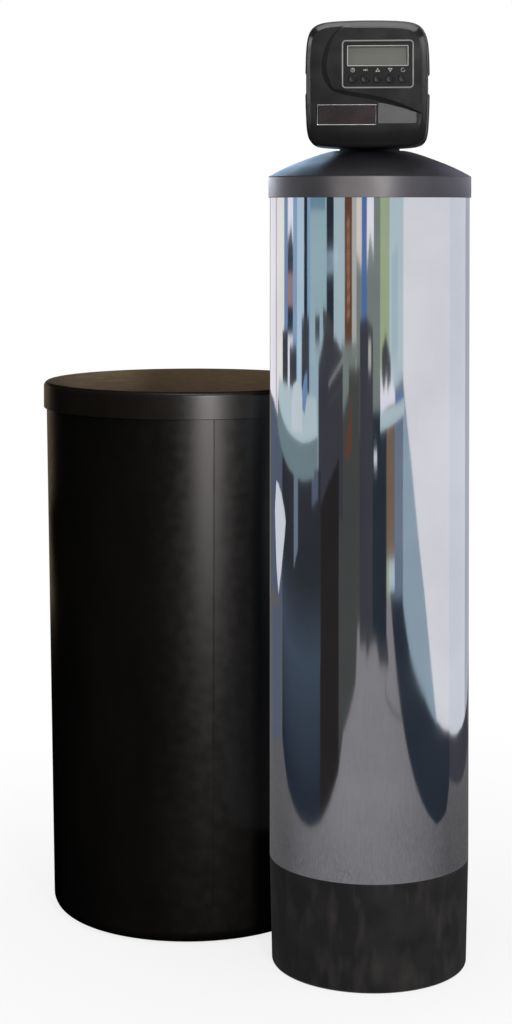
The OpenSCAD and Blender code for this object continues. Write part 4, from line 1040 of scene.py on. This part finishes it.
# The far wall up to eye level: upright strips, as doors, curtains, pipes and wall panels would stand
WALL_R = 3.35
EYE_LEVEL = 1.23
WALL_TOP = 3.2
WALL_BANDS = [
    (-165, "lilac"), (-132.7, "mauve"), (-129, "cream"), (-110.5, "blue"), (-103.3, "lilac"),
    (-93.7, "steel_blue"), (-86.9, "pale_blue"), (-76.1, "navy"), (-71.5, "steel_blue"),
    (-67.1, "teal"), (-46.2, "navy"), (-37.7, "mint"), (-24.9, "copper"), (-16.8, "beige"),
    (-11.7, "tan"), (-6.0, "azure"), (-0.3, "lilac"), (7.2, "sage"), (14.3, "olive"),
    (24.5, "pale_mint"), (40.3, "lavender"), (152, "back_wall"), (195, None)]
for number, ((start, colour), (end, _)) in enumerate(zip(WALL_BANDS, WALL_BANDS[1:])):
    curved(f"wall_{number}", start, end, WALL_R, 0.0, EYE_LEVEL, CARDS[colour])
curved("upper_wall", -165, 152, WALL_R, EYE_LEVEL, WALL_TOP, CARDS["dark_wall"])
curved("wall_behind", 152, 195, WALL_R, EYE_LEVEL, WALL_TOP, CARDS["dark_wall"])

# Things that stand on rings round the tank: distance, bearings, then heights of foot and top at each bearing
SET = [
    (3.3, [-103.3, -97, -93.7], 0.96, [1.06, 1.1, 1.04], "charcoal"),
    (3.3, [-103.3, -93.7], 0.86, 0.96, "rose"),
    (3.3, [-103.3, -93.7], 0.775, 0.86, "navy"),
    (3.3, [-67.1, -48], 1.15, EYE_LEVEL, "deep_teal"),
    (3.28, [-46.5, -33], [1.005, 1.0], [1.02, 1.03], "pale_blue"),
    (3.28, [-46.5, -37], [0.965, 0.97], [0.985, 0.99], "pale_blue"),
    (3.3, [-0.3, 3.0, 7.2], 0.0, [0.98, 1.08, 1.02], "sage"),
    (3.3, [27, 34], 0.7, [1.02, 1.05], "mint"),
    (3.3, [-11.7, -6.0], 0.0, [1.02, 0.98], "sage"),
    (3.25, [30.7, 41], 0.0, [0.62, 0.66], "dusk"),
    (3.2, [-165, -140, -108], 0.0, [0.62, 0.58, 0.5], "slate"),
    (1.1, [-130, -125.5, -119.5, -112, -105.5, -103], [0.549, 0.445, 0.385, 0.44, 0.502, 0.535],
     [0.552, 0.612, 0.608, 0.59, 0.56, 0.54], "blue_white"),
    (0.92, [-87, -80.5], [0.48, 0.52], [0.668, 0.67], "dusk"),
    (0.92, [-62.4, -52.9], [0.6, 0.62], [0.672, 0.674], "slate"),
    (2.9, [-113.8, -102.8], 0.5, 0.81, "charcoal"),
    (2.9, [-99.3, -87.4], 0.5, 0.77, "charcoal"),
    (2.9, [-79.3, -68.6], 0.5, 0.85, "charcoal"),
    (2.9, [-60.4, -54.6], 0.78, 0.855, "charcoal"),
    (2.9, [-50.4, -44, -37.5], 0.8, [0.88, 0.86, 0.83], "umber"),
    (1.00, [-91.4, -88.3, -82.3, -76.2, -74.5], 0.73, [0.79, 0.822, 0.83, 0.821, 0.793], "dish"),
    (1.00, [-74.5, -71.4, -67.6], [0.776, 0.766, 0.805], [0.81, 0.84, 0.85], "blue"),
    (1.36, [-54.3, -46.5, -33.6, -26], 0.52, [0.84, 0.903, 0.89, 0.86], "charcoal"),
    (1.28, [-42, -26], [0.8, 0.85], [0.805, 0.857], "beige"),
    (1.28, [-42, -26], [0.755, 0.8], [0.765, 0.812], "umber"),
    (2.6, [-28.4, -13.9, -9.8], [0.602, 0.723, 0.79], 0.8, "sage"),
    (2.62, [-28.4, -8.0], 0.5, 0.735, "umber"),
    (2.58, [-24.1, -16.5], [0.5, 0.52], [0.52, 0.67], "copper"),
    (2.6, [-7.8, -1.0, 6.3], 0.0, [0.86, 0.87, 0.84], "charcoal"),
    (2.58, [1.3, 4.5], 0.73, 0.81, "beige"),
    (2.62, [6.3, 14], 0.62, 0.8, "sage"),
    (2.65, [6.3, 21.6], 0.0, [0.68, 0.6], "navy"),
    (2.55, [7.5, 11], 0.485, 0.525, "pale"),
    (2.7, [-33, -14, -1.0], [0.0, 0.0, 0.09], 0.55, "umber"),
    (3.2, [21.6, 30.7], 0.13, 0.62, "brown"),
    (2.3, [14.4, 41.3], [0.602, 0.642], [0.65, 0.684], "pale_mint"),
    (2.31, [14.4, 18, 22], [0.648, 0.652, 0.658], [0.75, 0.7, 0.74], "lilac"),
    (2.31, [22, 27, 31], [0.658, 0.664, 0.67], [0.7, 0.73, 0.69], "lilac"),
    (2.31, [30.8, 41.3], [0.668, 0.682], [0.685, 0.702], "azure"),
    (2.32, [16, 20, 26], 0.65, [0.8, 0.84, 0.78], "charcoal"),
]
for number, (distance, bearings, low, high, colour) in enumerate(SET):
    fence(f"set_{number}", [bearing(b, distance) for b in bearings], low, high, CARDS[colour])

# Lights on a twisted copper pipe
PIPE_AT = [bearing(-22.5, 3.27), bearing(-19.0, 3.27)]
for step in range(7):
    z = 0.83 + 0.045 * step
    fence(f"pipe_light_{step}", PIPE_AT, [z, z + 0.012], [z + 0.016, z + 0.024], CARDS["bright_copper"])

# A near wall on the right, in shade along its foot, and a skirted table with a dark stand on the left
WALL_FOOT = [(2.059, -2.429), (1.85, -1.605), (1.821, -0.797), (1.683, -0.148), (1.546, 0.349)]
WALL_TURN = [(1.546, 0.349), (1.255, 0.921), (1.0, 1.273), (0.73, 1.646), (0.35, 2.5)]
TABLE_Z = 0.73
TABLE_EDGE = [(-1.4, 0.95), (-1.14, 0.435), (-0.93, 0.015), (-0.8, -0.25), (-0.775, -0.4), (-0.78, -0.57)]
SKIRT_FOOT = [(-1.39, 0.56), (-1.131, 0.18), (-0.966, -0.14), (-0.818, -0.431), (-0.754, -0.62)]
UPRIGHT = [
    ("near_wall", WALL_FOOT, 0.0, EYE_LEVEL, "lavender"),
    ("near_wall_turn", WALL_TURN[:3], 0.0, EYE_LEVEL, "blue_white"),
    ("near_wall_end", WALL_TURN[2:], 0.0, EYE_LEVEL, "wall_end"),
    ("wall_shade", [(2.03, -2.4), (1.83, -1.55), (1.80, -0.797), (1.665, -0.2)], 0.0,
     [0.66, 0.51, 0.25, 0.01], "shade"),
    ("table_rim", TABLE_EDGE, 0.66, TABLE_Z, "table_rim"),
    ("stand", [(-0.754, -0.62), (-0.723, -0.82), (-0.683, -1.17)], 0.0, [0.60, 0.63, 0.65], "black"),
]
for name, line, low, high, colour in UPRIGHT:
    fence(name, line, low, high, CARDS[colour])
SKIRT_BLUE = rgb(68, 80, 94)
fence("table_skirt", SKIRT_FOOT, 0.0, 0.67,
      card_material("card_skirt", rgb(40, 48, 59), top=SKIRT_BLUE, low=0.05, high=0.3))
fence("table_shade", [(x + 0.01, y) for x, y in SKIRT_FOOT], 0.3, 0.67,
      card_material("card_table_shade", SKIRT_BLUE, top=rgb(48, 51, 57), low=0.3, high=0.46))

# Flat cards: a dark strip on the ground before the near wall, the table's top, and dark marks and shade on
# the ground
FLAT = [
    ("dark_strip", 0.007, "navy", [
        (1.488, -3.214), (1.33, -2.37), (1.16, -1.6), (1.05, -1.02), (0.97, -0.56), (0.906, -0.156),
        (0.97, 0.093), (1.139, 0.249), (1.504, 0.365), *reversed(WALL_FOOT), (2.1, -3.2)]),
    ("wall_patch", 0.006, "charcoal", [
        (1.504, 0.365), (1.237, 0.906), (0.85, 1.541), (0.49, 1.326), (0.837, 0.77), (1.167, 0.258)]),
    ("chair_leg", 0.006, "charcoal", [
        (0.747, -2.032), (0.728, -1.891), (0.844, -1.722), (1.112, -1.412), (1.1, -1.38), (0.825, -1.69),
        (0.7, -1.89), (0.73, -2.04)]),
    ("foot", 0.008, "charcoal", [(0.428, -2.634), (1.027, -2.461), (0.96, -2.12), (0.58, -2.28)]),
    ("leg", 0.008, "navy", [(0.156, -2.716), (0.324, -2.701), (0.041, -2.468), (-0.086, -2.467)]),
    ("table_top", TABLE_Z, "pale_mint", [
        *TABLE_EDGE, (-1.5, -0.95), (-1.95, -0.35), (-2.0, 0.35), (-1.9, 1.15)]),
    ("stand_shade", 0.006, "umber", [
        (-0.683, -1.17), (-0.72, -1.5), (-0.6, -1.75), (-0.45, -2.1), (-0.5, -2.7), (-1.7, -2.6)]),
    ("left_shade", 0.006, "slate", [(-1.744, 2.396), (-2.678, 1.414), (-1.35, 0.633), (-0.903, 1.105)]),
    ("ceiling", WALL_TOP, "dark_wall", square(3.3)),
]
for name, z, colour, line in FLAT:
    ground(name, line, z, CARDS[colour])

# For single pieces: lights behind the dome, a sky over the valve cover, a wall behind the brine tank,
# and boxes, each with its bearings, distance, heights, colour, strength and group
BACK_LIGHTS = [
    ("high_window", [(-1.6, 2.7), (-0.42, 2.9)], 3.1, rgb(176, 208, 240), 3.6),
    ("far_light", [(0.6, 2.9), (1.8, 2.6)], 2.9, rgb(160, 157, 176), 2.4),
]
for name, line, high, colour, strength in BACK_LIGHTS:
    fence(name, line, 1.6, high, card_material("card_" + name, colour, strength), ON_DOME)
ground("cover_sky", [(-1.2, -0.5), (1.2, -0.5), (1.2, 1.3), (-1.2, 1.3)], 3.0,
       card_material("card_sky", WHITE, 2.2), ON_COVER)
curved("brown_wall", 152, 200, 3.0, 0.0, 1.6, CARDS["back_wall"], BEHIND)
BOXES = [
    ("left_box", -112, -62, 2.4, 1.3, 2.3, WHITE, 2.6, ON_COVER),
    ("right_box", 66, 112, 1.7, 1.3, 2.1, WHITE, 2.6, ON_COVER),
    ("top_box", -14, 10, 2.4, 1.98, 2.5, WHITE, 4.5, ON_COVER),
    ("front_box", -38, 26, 2.4, 1.24, 1.7, rgb(255, 244, 244), 8.2, ON_COLLAR),
    ("collar_left", -165, -120, 2.4, 1.24, 1.8, rgb(240, 242, 255), 7.0, ON_COLLAR),
    ("collar_front_left", -120, -75, 2.4, 1.24, 1.8, rgb(240, 242, 255), 2.4, ON_COLLAR),
    ("dome_right", 70, 150, 1.7, 1.6, 2.6, rgb(214, 212, 232), 1.6, ON_DOME),
    ("collar_right", 28, 160, 1.7, 1.24, 1.6, rgb(240, 238, 255), 2.6, ON_COLLAR),
]
for name, start, end, distance, low, high, colour, strength, group in BOXES:
    curved(name, start, end, distance, low, high, card_material("card_" + name, colour, strength), group)

# The brine tank leaves no image of itself in the jacket
BRINE_NODES = ("brine_tank", "brine_lid", "salt_grid", "grid_legs", "brine_well", "well_cap", "float_valve",
               "pickup_tube", "brine_fitting", "float_rod", "float", "overflow_fitting", "overflow_nut")
for shown in [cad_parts[name] for name in BRINE_NODES] + [tub_piece, lid_piece]:
    shown.visible_glossy = False


# Light

AMBIENT = 0.4
world = bpy.data.worlds.new("world")
scene.world = world
sky = Sheet(world, "ShaderNodeOutputWorld")
ambient = sky.node("ShaderNodeBackground", Color=WHITE, Strength=AMBIENT)
sky.end(sky.pick(sky.in_sight(), ambient, sky.node("ShaderNodeBackground", Color=WHITE)))


def lamp(name, place, target, size, power, group=None, colour=(1.0, 1.0, 1.0)):
    data = bpy.data.lights.new(name, "AREA")
    data.shape = "RECTANGLE"
    data.size, data.size_y = size
    data.energy = power
    data.color = colour
    made = bpy.data.objects.new(name, data)
    made.location = place
    made.rotation_euler = (Vector(target) - Vector(place)).to_track_quat("-Z", "Y").to_euler()
    scene.collection.objects.link(made)
    if group:
        made.light_linking.receiver_collection = group


lamp("key", (0.75, -2.5, 1.85), (-0.1, 0.1, 0.9), (0.35, 1.0), 34.0, NOT_CAP)
lamp("strip", (0.77, -2.6, 0.72), (-0.29, 0.31, 0.6), (0.45, 0.7), 27.0, ON_BRINE, (1.0, 0.94, 0.92))
lamp("rim", (-1.6, 2.45, 0.65), (-0.45, 0.3, 0.6), (1.8, 1.4), 2.4, ON_BRINE, (1.0, 0.8, 0.54))
lamp("dome_top", (0.0, 0.3, 2.7), (0.0, 0.0, 1.25), (1.0, 1.0), 3.0, ON_DOME)
lamp("dome_fill", (0.3, -2.4, 1.5), (0.0, 0.0, 1.22), (2.0, 1.0), 13.0, ON_DOME)
lamp("back", (1.0, 2.9, 1.45), (-0.2, 0.3, 0.7), (0.6, 1.2), 8.0)
lamp("overhead", (0.1, -0.4, 3.1), (0.0, 0.0, 0.8), (1.5, 1.5), 24.0, NOT_DOME)

scene.view_settings.view_transform = "Standard"
